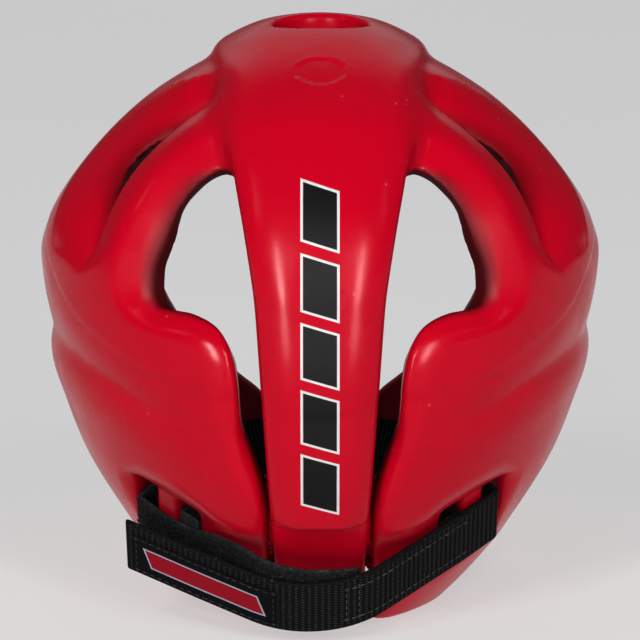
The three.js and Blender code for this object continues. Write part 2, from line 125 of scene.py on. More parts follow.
# Lines that run round the lobes: degrees round, degrees up
MOULD_LINE = (
    (8, -19.8), (14, -20.4), (20, -20.5), (26, -19.8), (35, -17.6), (43.5, -15), (49, -13.6),
    (58, -10.2), (64.5, -5.8), (72, -1.5), (82, 2), (100, 4),
)
GROOVE_LINE = (
    (18, -25.6), (21, -25.4), (28, -25.4), (36, -24.2), (42, -22.6), (49, -21.6), (57, -20.8),
    (66, -20.1), (80, -19.5), (100, -19), (120, -19),
)
GROOVE_DEPTH = ((20, 0), (30, 0.8), (42, 1.7), (58, 2.4), (96, 2.4), (118, 0))
# Face opening seen from the front: half width, level
FACE_OUTLINE = (
    (-20, 8), (0, 8), (36, 6), (58, -5), (66, -24), (60, -46), (46, -67), (32.6, -79), (23.7, -86.7),
    (18.6, -95), (17, -106), (16.5, -120), (16.5, -170), (-20, -170),
)
FACE_FROM = 30.0
# Ear hole: degrees round, degrees up, half width and half height in degrees, degrees of its mean radius
EAR_HOLE = (101.0, -22.0, 10.0, 13.0, 11.0)
# Hole in the crown and the round mark behind it: y of the hole, y and level of the mark, its tip
VENT_PLACE = -5.0
GATE_PLACE = (-63.0, 66.4)
GATE_TIP = math.radians(22.6)
# Block of space that the foam lies in: y of its back, and its far corner
GRID_BACK = -130.0
GRID_CORNER = (110.0, 128.0, 86.0)
# Arch of the lower rim seen from the side: y, level
RIM_ARCH = ((-30, -142), (-18, -131), (2, -121), (26, -121), (42, -131), (50, -142))
# Floor of the strap channel in the strap frame: x, y
CHANNEL_FLOOR = (
    (0, -137), (20, -128.5), (30, -125), (38, -119.5), (44, -112.8), (66, -94.5), (71, -93), (78, -95),
    (90, -98),
)


def length(name, description, default):
    """Property that holds a length in metres."""
    return bpy.props.FloatProperty(name=name, description=description, default=default, unit="LENGTH",
                                   precision=5)


def colour(name, description, default):
    """Property that holds a colour."""
    return bpy.props.FloatVectorProperty(name=name, description=description, default=default, size=3,
                                         min=0.0, max=1.0, subtype="COLOR")


def share(name, description, default):
    """Property that holds a number from 0 to 1."""
    return bpy.props.FloatProperty(name=name, description=description, default=default, min=0.0, max=1.0,
                                   subtype="FACTOR")


class ShellSettings(bpy.types.PropertyGroup):
    """Sizes and colours of the foam shell"""

    wall: length("Wall", "Thickness of the foam", 0.015)
    dome: length("Dome", "Height of the dome above the widest level", 0.078)
    crown_lift: length("Crown lift", "Height of the crown above the dome", 0.0085)
    tongue_lift: length("Tongue lift", "Height of the tongue above the back", 0.0035)
    vent_radius: length("Vent radius", "Radius of the hole in the crown", 0.0173)
    pitch: length("Mesh pitch", "Spacing of the mesh on the foam", 0.00195)
    stripe_width: length("Stripe width", "Width of the plain stripe on the tongue", 0.0118)
    stripe_low: length("Stripe foot", "Level of the lower end of the stripe", 0.0525)
    stripe_high: length("Stripe head", "Level of the upper end of the stripe", 0.1725)
    block_gap: length("Block gap", "Distance between the blocks of the stripe", 0.0056)
    block_count: bpy.props.IntProperty(
        name="Blocks", description="Number of plain blocks in the stripe", default=5, min=1)
    stripe_rim: length("Stripe outline", "Width of the pale outline of the stripe", 0.0009)
    roughness: share("Roughness", "Roughness of the moulded skin", 0.25)
    reflection: share("Reflection", "Share of light that the moulded skin reflects", 0.12)
    colour: colour("Foam colour", "Colour of the moulded skin", (0.58, 0.0012, 0.021))
    deep_colour: colour("Deeper colour", "Colour of its darker clouds", (0.53, 0.0010, 0.019))
    # Darker colour of the hollow, which also lies up the walls of the openings as painted shade
    inside_shade_colour: colour("Inner colour", "Colour of the skin inside the hollow", (0.1, 0.0008, 0.0035))
    speck_colour: colour("Speck colour", "Colour of small specks", (0.72, 0.20, 0.22))
    print_colour: colour("Stripe colour", "Colour of the plain stripe", (0.008, 0.008, 0.009))
    rim_colour: colour("Outline colour", "Colour of the outline of the stripe", (0.72, 0.70, 0.70))


class StrapSettings(bpy.types.PropertyGroup):
    """Sizes and colours of the straps, the label and the sewing"""

    strap_pitch: length("Mesh pitch", "Spacing of the mesh along the webbing", 0.00042)
    rib_spacing: length("Rib spacing", "Distance between cross ribs of the webbing", 0.0023)
    rib_height: length("Rib height", "Height of the cross ribs", 0.00024)
    thread_spacing: length("Thread spacing", "Distance between threads across the webbing", 0.0013)
    tape_thick: length("Tape thickness", "Thickness of the tape under the loop pile", 0.0015)
    pile_density: bpy.props.FloatProperty(
        name="Pile density", description="Loops on each square metre", default=1.3e6)
    loop_radius: length("Loop radius", "Radius of a loop of the pile", 0.00075)
    loop_thread: length("Loop thread", "Radius of the thread in a loop", 0.00013)
    label_length: length("Label length", "Length of the label", 0.058)
    label_width: length("Label width", "Width of the label", 0.018)
    label_thick: length("Label thickness", "Thickness of the label", 0.0008)
    bar_length: length("Bar length", "Length of the plain bar on the label", 0.046)
    bar_width: length("Bar width", "Width of the plain bar on the label", 0.008)
    stitch_spacing: length("Stitch spacing", "Distance between stitches", 0.0031)
    stitch_length: length("Stitch length", "Length of a stitch", 0.0023)
    thread_radius: length("Thread radius", "Radius of the sewing thread", 0.00018)
    # Painted light and shade on the webbing: darker between its threads, lighter on their tops; the pile
    # mixes both at random
    webbing_colour: colour("Webbing colour", "Colour between the threads", (0.002, 0.002, 0.0022))
    thread_tone_and_highlight_colour: colour("Thread colour", "Colour on top of the threads", (0.042, 0.042, 0.043))
    lint_colour: colour("Lint colour", "Colour of lint on the webbing", (0.16, 0.16, 0.15))
    label_colour: colour("Label colour", "Ground colour of the label", (0.002, 0.002, 0.004))
    # Painted shade between the bar's threads and painted highlight on their tops
    bar_colour: colour("Bar colour", "Colour of the bar between its threads", (0.28, 0.004, 0.016))
    bar_lit: colour("Bar thread colour", "Colour on top of the bar's threads", (0.55, 0.012, 0.036))
    rim_colour: colour("Bar outline colour", "Colour of the outline of the bar", (0.42, 0.42, 0.50))
    seam_colour: colour("Seam colour", "Thread that shows on the hook strap", (0.085, 0.085, 0.083))
    dark_seam_colour: colour("Dark seam colour", "Thread of the other seams", (0.012, 0.012, 0.013))


class StageSettings(bpy.types.PropertyGroup):
    """Floor, light and view"""

    floor_colour: colour("Floor colour", "Colour of the floor", (0.26, 0.26, 0.26))
    lens: bpy.props.FloatProperty(
        name="Lens", description="Focal length of the camera in millimetres", default=223.6)
    view_tip: bpy.props.FloatProperty(
        name="View tip", description="Angle by which the camera looks down", default=math.radians(11.2),
        subtype="ANGLE")
    floor_glow: share("Floor glow", "Light that the floor gives off", 0.53)
    light: bpy.props.FloatProperty(
        name="Light", description="Share of the lamps' power", default=1.0, min=0.0)
    gamma: bpy.props.FloatProperty(
        name="Gamma", description="Gamma of the picture; below 1 its dark tones are deeper", default=0.88)
    near_glow: bpy.props.FloatProperty(
        name="Near glow", description="Brightness of the surroundings on the viewer's side", default=0.01)
    far_glow: bpy.props.FloatProperty(
        name="Far glow", description="Brightness of the surroundings behind the guard", default=0.08)


FLOOR_REACH = 8.0
# Place of the camera in the head frame
VIEW_POINT = (0.0, -1471.4, 254.5)
# Point that the lamps are turned to, and the lamps: name, place, power, width, height, rays that see them
LAMP_AIM = (0.0, 0.0, 0.12)
LIGHTS = (
    ("left_lamp", (-1.7, -0.75, 1.55), 2.0, 0.35, 0.35, "both"),
    ("right_lamp", (1.7, -0.75, 1.45), 1.0, 0.35, 0.35, "both"),
    ("front_left_lamp", (-0.85, -2.05, 1.55), 40.0, 0.12, 1.5, "diffuse"),
    ("front_right_lamp", (0.85, -2.05, 1.55), 32.0, 0.12, 1.5, "diffuse"),
    ("left_strip", (-0.28, -0.64, 0.22), 7.0, 0.04, 0.4, "glossy"),
    ("right_strip", (0.28, -0.64, 0.22), 6.0, 0.07, 0.4, "glossy"),
    ("floor_lamp", (0.0, 2.6, 1.6), 8.0, 2.2, 2.2, "both"),
)


# Numbers on curves


def hermite_column(column):
    """Smooth column of the section table on even levels, level at its first row."""
    rows = np.array(SECTIONS)
    slopes = [0.0]
    for row in range(1, len(rows)):
        after = min(row + 1, len(rows) - 1)
        rise = rows[after, column] - rows[row - 1, column]
        slopes.append(rise / (rows[after, 0] - rows[row - 1, 0]))
    levels = np.arange(rows[-1, 0], rows[0, 0] + 0.25, 0.5)
    values = np.zeros_like(levels)
    for row in range(len(rows) - 1):
        span = rows[row + 1, 0] - rows[row, 0]
        here = (levels <= rows[row, 0]) & (levels >= rows[row + 1, 0])
        t = (levels[here] - rows[row, 0]) / span
        values[here] = ((2 * t ** 3 - 3 * t ** 2 + 1) * rows[row, column]
                        + (t ** 3 - 2 * t ** 2 + t) * slopes[row] * span
                        + (3 * t ** 2 - 2 * t ** 3) * rows[row + 1, column]
                        + (t ** 3 - t ** 2) * slopes[row + 1] * span)
    return levels, values, np.gradient(values, levels)


HALF_TABLE = hermite_column(1)
REAR_TABLE = hermite_column(2)
MID_TABLE = hermite_column(3)
FRONT_TABLE = hermite_column(4)


def along(table, at):
    """Value of a short table at places along its first column."""
    rows = np.array(table, float)
    return np.interp(at, rows[:, 0], rows[:, 1])


def eased(table, width):
    """Dense copy of a short table with its corners eased."""
    rows = np.array(table, float)
    step = width / 24.0
    at = np.arange(rows[0, 0] - width, rows[-1, 0] + width, step)
    weights = np.hanning(25) / np.hanning(25).sum()
    columns = [at]
    for column in rows.T[1:]:
        padded = np.pad(np.interp(at, rows[:, 0], column), 12, mode="edge")
        columns.append(np.convolve(padded, weights, "valid"))
    return np.column_stack(columns)


def smooth_outline(points, steps=4):
    """Closed smooth run of points through the given corners."""
    corners = np.array(points, float)
    count = len(corners)
    run = []
    for i in range(count):
        a, b, c, d = (corners[(i + k) % count] for k in (-1, 0, 1, 2))
        for step in range(steps):
            t = step / steps
            run.append(0.5 * (2 * b + (c - a) * t + (2 * a - 5 * b + 4 * c - d) * t ** 2
                              + (3 * b - a - 3 * c + d) * t ** 3))
    return np.array(run)


def outline_distance(u, v, outline):
    """Distance of points to a closed outline, negative inside it."""
    nearest = np.full(u.shape, np.inf)
    inside = np.zeros(u.shape, bool)
    following = np.roll(outline, -1, axis=0)
    for (ax, ay), (bx, by) in zip(outline, following):
        ex, ey = bx - ax, by - ay
        wx, wy = u - ax, v - ay
        t = np.clip((wx * ex + wy * ey) / (ex * ex + ey * ey), 0.0, 1.0)
        nearest = np.minimum(nearest, (wx - ex * t) ** 2 + (wy - ey * t) ** 2)
        if ey != 0.0:
            crosses = (ay > v) != (by > v)
            inside ^= crosses & (u < ex * wy / ey + ax)
    return np.where(inside, -1.0, 1.0) * np.sqrt(nearest)


def soft_min(a, b, width):
    """Union of two distances with a fillet."""
    blend = np.maximum(width - np.abs(a - b), 0.0)
    return np.minimum(a, b) - blend * blend / (4.0 * width)


def soft_max(a, b, width):
    """Cut of two distances with a rounded edge."""
    return -soft_min(-a, -b, width)


def bevelled(surface, edge, width, angle):
    """Slope that takes a surface down towards a cut edge, from some way before it."""
    return surface * np.cos(angle) + (edge + width) * np.sin(angle)


def step_up(value, low, high):
    """Smooth step from 0 to 1."""
    t = np.clip((value - low) / (high - low), 0.0, 1.0)
    return t * t * (3.0 - 2.0 * t)


# Forms of the foam, as distances in the head frame in millimetres


def form_distance(x, y, z, dome, growth):
    """Distance to the head form grown by side, back, front and top."""
    side, back, front, top = growth
    level = np.minimum(z, WIDEST)
    below = z < WIDEST
    half = np.interp(level, HALF_TABLE[0], HALF_TABLE[1]) + side
    rear = np.interp(level, REAR_TABLE[0], REAR_TABLE[1]) - back
    mid = np.interp(level, MID_TABLE[0], MID_TABLE[1])
    fore = np.interp(level, FRONT_TABLE[0], FRONT_TABLE[1]) + front
    half_slope = np.interp(level, HALF_TABLE[0], HALF_TABLE[2]) * below
    rear_slope = np.interp(level, REAR_TABLE[0], REAR_TABLE[2]) * below
    mid_slope = np.interp(level, MID_TABLE[0], MID_TABLE[2]) * below
    fore_slope = np.interp(level, FRONT_TABLE[0], FRONT_TABLE[2]) * below
    behind = y < mid
    reach = np.where(behind, mid - rear, fore - mid)
    reach_slope = np.where(behind, mid_slope - rear_slope, fore_slope - mid_slope)
    a = x / half
    b = (y - mid) / reach
    c = np.maximum(z - WIDEST, 0.0) / (dome + top)
    radius = np.sqrt(a * a + b * b + c * c) + 1e-9
    slope_x = a / half
    slope_y = b / reach
    slope_z = c / (dome + top) - a * a * half_slope / half - b * (mid_slope + b * reach_slope) / reach
    return (radius - 1.0) * radius / np.sqrt(slope_x ** 2 + slope_y ** 2 + slope_z ** 2 + 1e-12)


STRAP_TIP = math.radians(32.0)
RUN_ANGLE = math.radians(42.8)
HOOK_ARC = (-3.0, -105.3, 42.0)
LOOP_ARC = (-3.5, -112.3, 32.4)
STRAP_THICK = 2.2
STRAP_GAP = 0.4
BAR_X = 57.5
BAR_HALF = 5.5
BAR_THICK = 9.5
BAR_EDGE = 2.0
SLOT_INNER = 9.0
SLOT_OUTER = 10.0
SLOT_LOW = -70.0
SLOT_HIGH = -37.5
SLOT_REACH = (-32.0, 25.0)
CHANNEL_TOP = -32.0
CHANNEL_LEAN = 1.4
CHANNEL_START = 12.0
RUN_ALONG = np.array([math.cos(RUN_ANGLE), math.sin(RUN_ANGLE)])
RUN_OUT = np.array([math.sin(RUN_ANGLE), -math.cos(RUN_ANGLE)])


def bar_origin():
    """Middle of the right bar on the outer face of the strap's run, in the strap frame."""
    start = np.array([HOOK_ARC[0], HOOK_ARC[1]]) + HOOK_ARC[2] * RUN_OUT
    return np.array([BAR_X, start[1] + (BAR_X - start[0]) * RUN_ALONG[1] / RUN_ALONG[0]])


BAR_ORIGIN = bar_origin()
BAR_FACE = -(STRAP_THICK + STRAP_GAP)
BAR_BACK = BAR_FACE - BAR_THICK


def to_strap_frame(y, z):
    """Depth and level in the strap frame."""
    depth = math.cos(STRAP_TIP) * y + math.sin(STRAP_TIP) * z
    level = math.cos(STRAP_TIP) * z - math.sin(STRAP_TIP) * y
    return depth, level


def box_distance(parts):
    """Distance to a box from pairs of signed distance beyond each pair of faces."""
    outside = np.sqrt(sum(np.maximum(part, 0.0) ** 2 for part in parts))
    return outside + np.minimum(np.maximum.reduce(parts), 0.0)


def between(value, low, high):
    """Signed distance beyond a pair of faces."""
    return np.maximum(low - value, value - high)


def directions(x, y, z):
    """Degrees round from the back, degrees up and distance from the middle of the head."""
    flat = np.hypot(x, y)
    return np.degrees(np.arctan2(x, -y)), np.degrees(np.arctan2(z, flat)), np.hypot(flat, z)


MOULD_CURVE = eased(MOULD_LINE, 12.0)
GROOVE_CURVE = eased(GROOVE_LINE, 12.0)


def lobe_relief(turn, rise, radius):
    """How far the lines on the lobes sink below the plain form."""
    per_degree = np.radians(1.0) * radius
    above_groove = (rise - along(GROOVE_CURVE, turn)) * per_degree
    above_mould = (rise - along(MOULD_CURVE, turn)) * per_degree
    depth = along(GROOVE_DEPTH, turn)
    span = np.maximum(above_groove - above_mould, 4.0)
    upper = np.clip(1.0 - above_groove / span, 0.0, 1.0) ** 1.6
    lower = np.exp(-(above_groove / 5.5) ** 2)
    groove = depth * np.where(above_groove > 0.0, upper, lower)
    flare = 0.35 * depth * np.exp(-((above_groove + 15.0) / 9.0) ** 2)
    lip = 0.5 * step_up(-above_mould, -2.0, 2.0) * np.exp(np.minimum(above_mould, 0.0) / 8.0)
    lip = lip * step_up(turn, 9.0, 14.0) * (1.0 - step_up(turn, 80.0, 100.0))
    return groove - flare + lip


class FoamForm:
    """Distance to the whole foam shell, for points in the head frame in millimetres."""

    def __init__(self, settings):
        self.wall = settings.wall / MM
        self.dome = settings.dome / MM
        self.crown_lift = settings.crown_lift / MM
        self.tongue_lift = settings.tongue_lift / MM
        self.vent = settings.vent_radius / MM
        self.rear = smooth_outline(REAR_OPENING, 7)
        self.channel = eased(CHANNEL_FLOOR, 10.0)
        self.tongue = eased(TONGUE_HALF, 30.0)
        self.ribs = eased(SCOOP, 6.0)
        self.face = smooth_outline(FACE_OUTLINE)
        self.arch = np.array(RIM_ARCH, float)
        plan = [(half, y) for y, half in CROWN_PLAN]
        plan += [(-half, y) for y, half in reversed(CROWN_PLAN)]
        self.plan = smooth_outline(plan, 3)

    def radial_cut(self, turn, rise, radius, outline, level):
        """Distance to a cut whose walls run to the middle of the head."""
        narrow = math.cos(math.radians(level))
        scaled = np.column_stack((outline[:, 0] * narrow, outline[:, 1]))
        return outline_distance(turn * narrow, rise, scaled) * np.radians(1.0) * radius

    def shoulders(self, x, y, z, skin):
        """Skin with the flatter shoulders over the ribs."""
        for share_x, share_y, share_z, reach in SHOULDER_PLANES:
            skin = soft_max(skin, share_x * x + share_y * y + share_z * z - reach, 9.0)
        return skin

    def rear_opening(self, x, y, z, depth, rise):
        """Opening beside the tongue, with a slight undercut at the ribs."""
        turn = directions(x, y, z)[0]
        lobes = step_up(-rise, 1.0, 6.0) * (1.0 - step_up(turn, 24.0, 30.0))
        corner = step_up(-rise, 0.5, 4.5) * (1.0 - step_up(turn, 31.0, 36.0))
        lowered = LOBE_UNDERCUT * lobes + CORNER_UNDERCUT * np.maximum(corner - lobes, 0.0)
        moved = lobes * (1.0 - 0.5 * step_up(-rise, 26.0, 36.0)) * depth
        turn, rise, radius = directions(x, y - moved, z)
        undercut = depth / self.wall
        turn = turn - RIB_UNDERCUT * step_up(rise, 3.0, 13.0) * np.maximum(undercut - 0.35, 0.0) / 0.65
        rise = rise + lowered * (1.0 - step_up(-rise, 12.0, 20.0)) * undercut
        cut = self.radial_cut(turn, rise, radius, self.rear, 0.0)
        beside = np.where((y < -30.0) & (z < -20.0), x - along(self.tongue, z) - 0.9, 60.0)
        return np.minimum(cut, beside)

    def scoop(self, turn, rise, radius, depth):
        """Scoop between the two ribs, which opens into a slit beside the inner one."""
        near_edge, far_edge, deep = (np.interp(rise, self.ribs[:, 0], self.ribs[:, k]) for k in (1, 2, 3))
        per_degree = np.radians(1.0) * radius * np.cos(np.radians(rise))
        share = (far_edge - turn) / np.maximum(far_edge - near_edge, 2.0)
        lean = deep / np.maximum((far_edge - near_edge) * per_degree, 4.0)
        profile = 0.62 * share + 0.38 * np.clip(share, 0.0, 1.2) ** 5
        floor = (depth - deep * profile) / np.sqrt(1.0 + lean * lean)
        ends = 1.8 * step_up(-rise, 0.0, 4.0) + step_up(rise, 48.0, 52.0) + step_up(-share, 0.0, 0.3)
        floor = floor + 2.5 * ends
        return floor, (near_edge - turn) * per_degree

    def sides(self, x, y, z, outer, inner, turn, rise, radius):
        """Dome, ribs and lobes with their openings."""
        foam_skin = self.shoulders(x, y, z, outer) + lobe_relief(turn, rise, radius)
        opening = self.rear_opening(x, y, z, np.maximum(-outer, 0.0), rise)
        floor, beside = self.scoop(turn, rise, radius, -foam_skin)
        ribs = step_up(z, *RIB_LEVELS)
        low = 1.0 - step_up(z, *STRAP_LEVELS)
        wide, angle, bevel_soft, edge_soft = (a + (b - a) * ribs for a, b in zip(LOBE_BEVEL, RIB_BEVEL))
        slope = bevelled(foam_skin, -opening, wide + STRAP_BEVEL[0] * low,
                         np.radians(angle + STRAP_BEVEL[1] * low))
        skin = soft_max(foam_skin, slope, bevel_soft)
        rib_side = RIB_SIDE[0] * (1.0 - step_up(turn, 50.0, 60.0)) * step_up(rise, -6.0, 4.0)
        rib_side = rib_side * (1.0 - step_up(rise, 42.0, 52.0))
        outward = bevelled(foam_skin, np.minimum(-beside, 0.0), rib_side, RIB_SIDE[1])
        outward = outward - 3.0 * (1.0 - step_up(rise, -9.0, 0.0))
        skin = soft_max(skin, outward, RIB_SIDE[2])
        skin = soft_max(skin, -opening, edge_soft)
        scoop = soft_max(floor, beside, 2.0)
        skin = soft_max(skin, -scoop, 2.0)
        around, up, half_wide, half_high, mean = EAR_HOLE
        ear = np.hypot((turn - around) / half_wide, (rise - up) / half_high) - 1.0
        skin = soft_max(skin, -ear * mean * np.radians(1.0) * radius, 7.0)
        slit = step_up(turn, 48.0, 54.0) * (1.0 - step_up(turn, 84.0, 90.0)) * step_up(rise, 0.0, 6.0)
        return soft_max(skin, -inner, 2.0 + 5.0 * slit * (1.0 - step_up(rise, 40.0, 48.0)))

    def crown_and_tongue(self, x, y, z, inner):
        """Raised crown with the tongue that hangs from it."""
        growth = (self.crown_lift, self.tongue_lift, self.tongue_lift, self.crown_lift)
        raised = form_distance(x, y, z, self.dome, growth)
        plan = outline_distance(x, y, self.plan)
        side = soft_max(plan, 0.64 * plan + 0.77 * (z - 66.0), 3.0)
        upper = step_up(z, 38.0, 54.0)
        edge = (1.0 - upper) * (x - along(self.tongue, z)) + upper * side
        edge = np.maximum(edge, np.minimum(y + 40.0, 46.0 - z))
        width = TONGUE_BEVEL * (1.0 - step_up(z, 26.0, 50.0))
        crest = 1.6 + 5.0 * step_up(z, 10.0, 46.0)
        band = raised
        for part, angle in TONGUE_BEVELS:
            band = soft_max(band, bevelled(raised, edge, part * width, math.radians(angle)), crest)
        below_parting = 3.7 * np.minimum(x / 20.0, 1.2) ** 2 + PARTING_LEVEL - z
        band = band + 0.35 * step_up(below_parting, -1.6, 1.6) * (1.0 - step_up(below_parting, 2.0, 14.0))
        depth, level = to_strap_frame(y, z)
        step_level = RECESS_LEVEL - 1.9 * np.minimum(x / 20.0, 1.0) ** 2
        recess = soft_max(depth - RECESS_DEPTH - 5.0 * x / 65.0, level - step_level, 2.4)
        band = soft_max(band, -recess, 2.4)
        band = soft_max(band, edge, 2.2 + 4.8 * upper)
        band = soft_max(band, TONGUE_END - z, 4.0)
        return np.maximum(band, -inner)

    def strap_seats(self, foam, x, y, z, outer):
        """Channels, slots and bars that take the closing straps."""
        depth, level = to_strap_frame(y, z)
        above_floor = depth - along(self.channel, x)
        ramp = (level - CHANNEL_TOP + CHANNEL_LEAN * (above_floor + 5.0)) / math.hypot(1.0, CHANNEL_LEAN)
        channel = np.maximum(soft_max(above_floor * 0.8, ramp, 3.0), CHANNEL_START - x)
        foam = soft_max(foam, -channel, 3.2)
        run = (x - BAR_ORIGIN[0]) * RUN_ALONG[0] + (depth - BAR_ORIGIN[1]) * RUN_ALONG[1]
        out = (x - BAR_ORIGIN[0]) * RUN_OUT[0] + (depth - BAR_ORIGIN[1]) * RUN_OUT[1]
        height = between(level, SLOT_LOW, SLOT_HIGH)
        slots = box_distance([between(run, -BAR_HALF - SLOT_INNER, BAR_HALF + SLOT_OUTER), height,
                              between(out, *SLOT_REACH)])
        foam = soft_max(foam, -slots, 2.6)
        bar = box_distance([between(run, -BAR_HALF + BAR_EDGE, BAR_HALF - BAR_EDGE), height,
                            between(out, BAR_BACK + BAR_EDGE, BAR_FACE - BAR_EDGE)]) - BAR_EDGE
        bar = np.maximum(bar, between(level, SLOT_LOW - 5.0, SLOT_HIGH + 5.0))
        return soft_min(foam, np.maximum(bar, outer), 1.2)

    def near(self, x, y, z, outer, inner):
        """Distance for points close to the wall."""
        turn, rise, radius = directions(x, y, z)
        foam = self.sides(x, y, z, outer, inner, turn, rise, radius)
        foam = self.strap_seats(foam, x, y, z, outer)
        fillet = 0.05 + 9.0 * step_up(z, 22.0, 42.0) - 4.0 * step_up(z, 54.0, 66.0)
        fillet = np.maximum(fillet - 3.0 * step_up(y, -55.0, -20.0), 0.05)
        foam = soft_min(foam, self.crown_and_tongue(x, y, z, inner), fillet)
        face = np.maximum(outline_distance(x, z, self.face), FACE_FROM - y)
        foam = soft_max(foam, -face, 8.0)
        foam = soft_max(foam, -outline_distance(y, z, self.arch), 6.0)
        vent = np.maximum(np.hypot(x, y - VENT_PLACE) - self.vent, -z)
        foam = soft_max(foam, -vent, 3.0)
        tipped = (y - GATE_PLACE[0]) * math.cos(GATE_TIP) + (z - GATE_PLACE[1]) * math.sin(GATE_TIP)
        ring = np.hypot(x, tipped)
        dish = 0.45 * (1.0 - step_up(ring, 8.4, 9.6)) - 0.15 * np.exp(-((ring - 10.2) / 1.2) ** 2)
        foam = foam + np.where(z > 40.0, dish, 0.0)
        return soft_max(foam, FLOOR_LEVEL - z, 2.0)

    def distance(self, points):
        """Distance of points to the foam."""
        x = np.abs(points[:, 0])
        y = points[:, 1]
        z = points[:, 2]
        outer = form_distance(x, y, z, self.dome, (0.0, 0.0, 0.0, 0.0))
        inner = form_distance(x, y, z, self.dome, (-self.wall,) * 4)
        far = np.maximum(outer, -inner)
        close = (far < 16.0) & (z > FLOOR_LEVEL - 6.0)
        values = np.maximum(far, 5.0)
        values[close] = self.near(x[close], y[close], z[close], outer[close], inner[close])
        return values

    def inside_shade_share(self, points):
        """Share of the hollow's darker, duller skin, painted shade as it runs up the walls of the openings.
        """
        x, y, z = np.abs(points[:, 0]), points[:, 1], points[:, 2]
        depth = form_distance(x, y, z, self.dome, (-self.wall,) * 4)
        turn = directions(x, y, z)[0]
        window = (1.0 - step_up(turn, 34.0, 42.0)) * (1.0 - step_up(z, 30.0, 40.0))
        window = window * step_up(z, -30.0, -12.0)
        rear = (1.0 - step_up(y, -40.0, -10.0)) * (1.0 - step_up(z, 56.0, 62.0))
        face = step_up(y, 20.0, 50.0)
        first = 0.3 + 7.0 * window + 2.5 * face
        last = 2.6 + 6.0 * rear + 3.0 * window + 5.0 * face
        return 1.0 - step_up(depth, first, last)

    def slope(self, points, reach=0.35):
        """Direction in which the distance grows."""
        parts = []
        for axis in range(3):
            shift = np.zeros(3)
            shift[axis] = reach
            parts.append((self.distance(points + shift) - self.distance(points - shift)) / (2.0 * reach))
        return np.column_stack(parts)


def surface_net(values, low, pitch):
    """Points and faces of the surface on which a grid of distances passes zero."""
    inside = values < 0.0
    shape = np.array(values.shape) - 1
    corners = [(i, j, k) for i in (0, 1) for j in (0, 1) for k in (0, 1)]

    def corner(grid, offset):
        return grid[offset[0]:offset[0] + shape[0], offset[1]:offset[1] + shape[1],
                    offset[2]:offset[2] + shape[2]]

    count = sum(corner(inside, c).astype(np.int8) for c in corners)
    cells = np.argwhere((count > 0) & (count < 8))
    number = np.full(shape, -1, np.int64)
    number[tuple(cells.T)] = np.arange(len(cells))
    total = np.zeros((len(cells), 3))
    crossings = np.zeros(len(cells))
    for first in corners:
        for axis in range(3):
            if first[axis] == 1:
                continue
            second = list(first)
            second[axis] = 1
            a = values[tuple((cells + first).T)]
            b = values[tuple((cells + second).T)]
            cut = (a < 0.0) != (b < 0.0)
            t = np.where(cut, a / np.where(cut, a - b, 1.0), 0.0)
            place = np.tile(np.array(first, float), (len(cells), 1))
            place[:, axis] = t
            total += place * cut[:, None]
            crossings += cut
    points = low + (cells + total / crossings[:, None]) * pitch
    faces = []
    for axis in range(3):
        u, v = (axis + 1) % 3, (axis + 2) % 3
        start = [slice(1, -1)] * 3
        start[axis] = slice(0, -1)
        ahead = [slice(1, -1)] * 3
        ahead[axis] = slice(1, None)
        here, there = inside[tuple(start)], inside[tuple(ahead)]
        offset = np.ones(3, int)
        offset[axis] = 0
        for leaving in (True, False):
            edges = np.argwhere((here & ~there) if leaving else (~here & there)) + offset
            ring = []
            for du, dv in ((-1, -1), (0, -1), (0, 0), (-1, 0)):
                cell = edges.copy()
                cell[:, u] += du
                cell[:, v] += dv
                ring.append(number[tuple(cell.T)])
            quad = np.column_stack(ring)
            faces.append(quad if leaving else quad[:, ::-1])
    return points, np.concatenate(faces)


def foam_mesh(form, pitch):
    """Points and faces of the foam surface, in the head frame."""
    low = np.array([0.5 * pitch, GRID_BACK, FLOOR_LEVEL - 3.0 * pitch])
    counts = np.ceil((np.array(GRID_CORNER) - low) / pitch).astype(int)
    axes = [low[i] + pitch * np.arange(counts[i]) for i in range(3)]
    half = np.empty(tuple(counts))
    for i, x in enumerate(axes[0]):
        y, z = np.meshgrid(axes[1], axes[2], indexing="ij")
        layer = np.column_stack((np.full(y.size, x), y.ravel(), z.ravel()))
        half[i] = form.distance(layer).reshape(y.shape)
    values = np.concatenate((half[::-1], half))
    start = np.array([-axes[0][-1], low[1], low[2]])
    points, faces = surface_net(values, start, pitch)
    links = np.concatenate([faces[:, [i, (i + 1) % 4]] for i in range(4)])
    for turn in range(4):
        if turn > 1:
            points = even_out(points, links, form.slope(points))
        points = drawn_on(form, points, pitch)
    normals = form.slope(points, 0.2)
    return points, faces, normals / np.linalg.norm(normals, axis=1)[:, None]


def drawn_on(form, points, pitch):
    """Points moved on to the surface of a form."""
    slope = form.slope(points)
    size = np.maximum((slope ** 2).sum(axis=1), 0.05)
    move = slope * (form.distance(points) / size)[:, None]
    reach = np.linalg.norm(move, axis=1)
    return points - move * np.minimum(1.0, 0.8 * pitch / np.maximum(reach, 1e-9))[:, None]


def even_out(points, links, slope):
    """Points moved along the surface towards the middle of their neighbours."""
    total = np.column_stack([np.bincount(links[:, 0], points[links[:, 1], axis], len(points))
                             for axis in range(3)])
    count = np.bincount(links[:, 0], minlength=len(points))
    move = total / count[:, None] - points
    normal = slope / np.maximum(np.linalg.norm(slope, axis=1), 1e-9)[:, None]
    return points + 0.6 * (move - normal * (move * normal).sum(axis=1)[:, None])


def new_object(name, points, faces, material):
    """Object with a smooth mesh, from points in the head frame in millimetres."""
    mesh = bpy.data.meshes.new(name)
    placed = (np.asarray(points) + REST) * MM
    mesh.from_pydata(placed.tolist(), [], [list(face) for face in faces])
    mesh.validate()
    mesh.shade_smooth()
    mesh.materials.append(material)
    obj = bpy.data.objects.new(name, mesh)
    bpy.context.scene.collection.objects.link(obj)
    return obj


# Meshes of the straps, in the head frame in millimetres

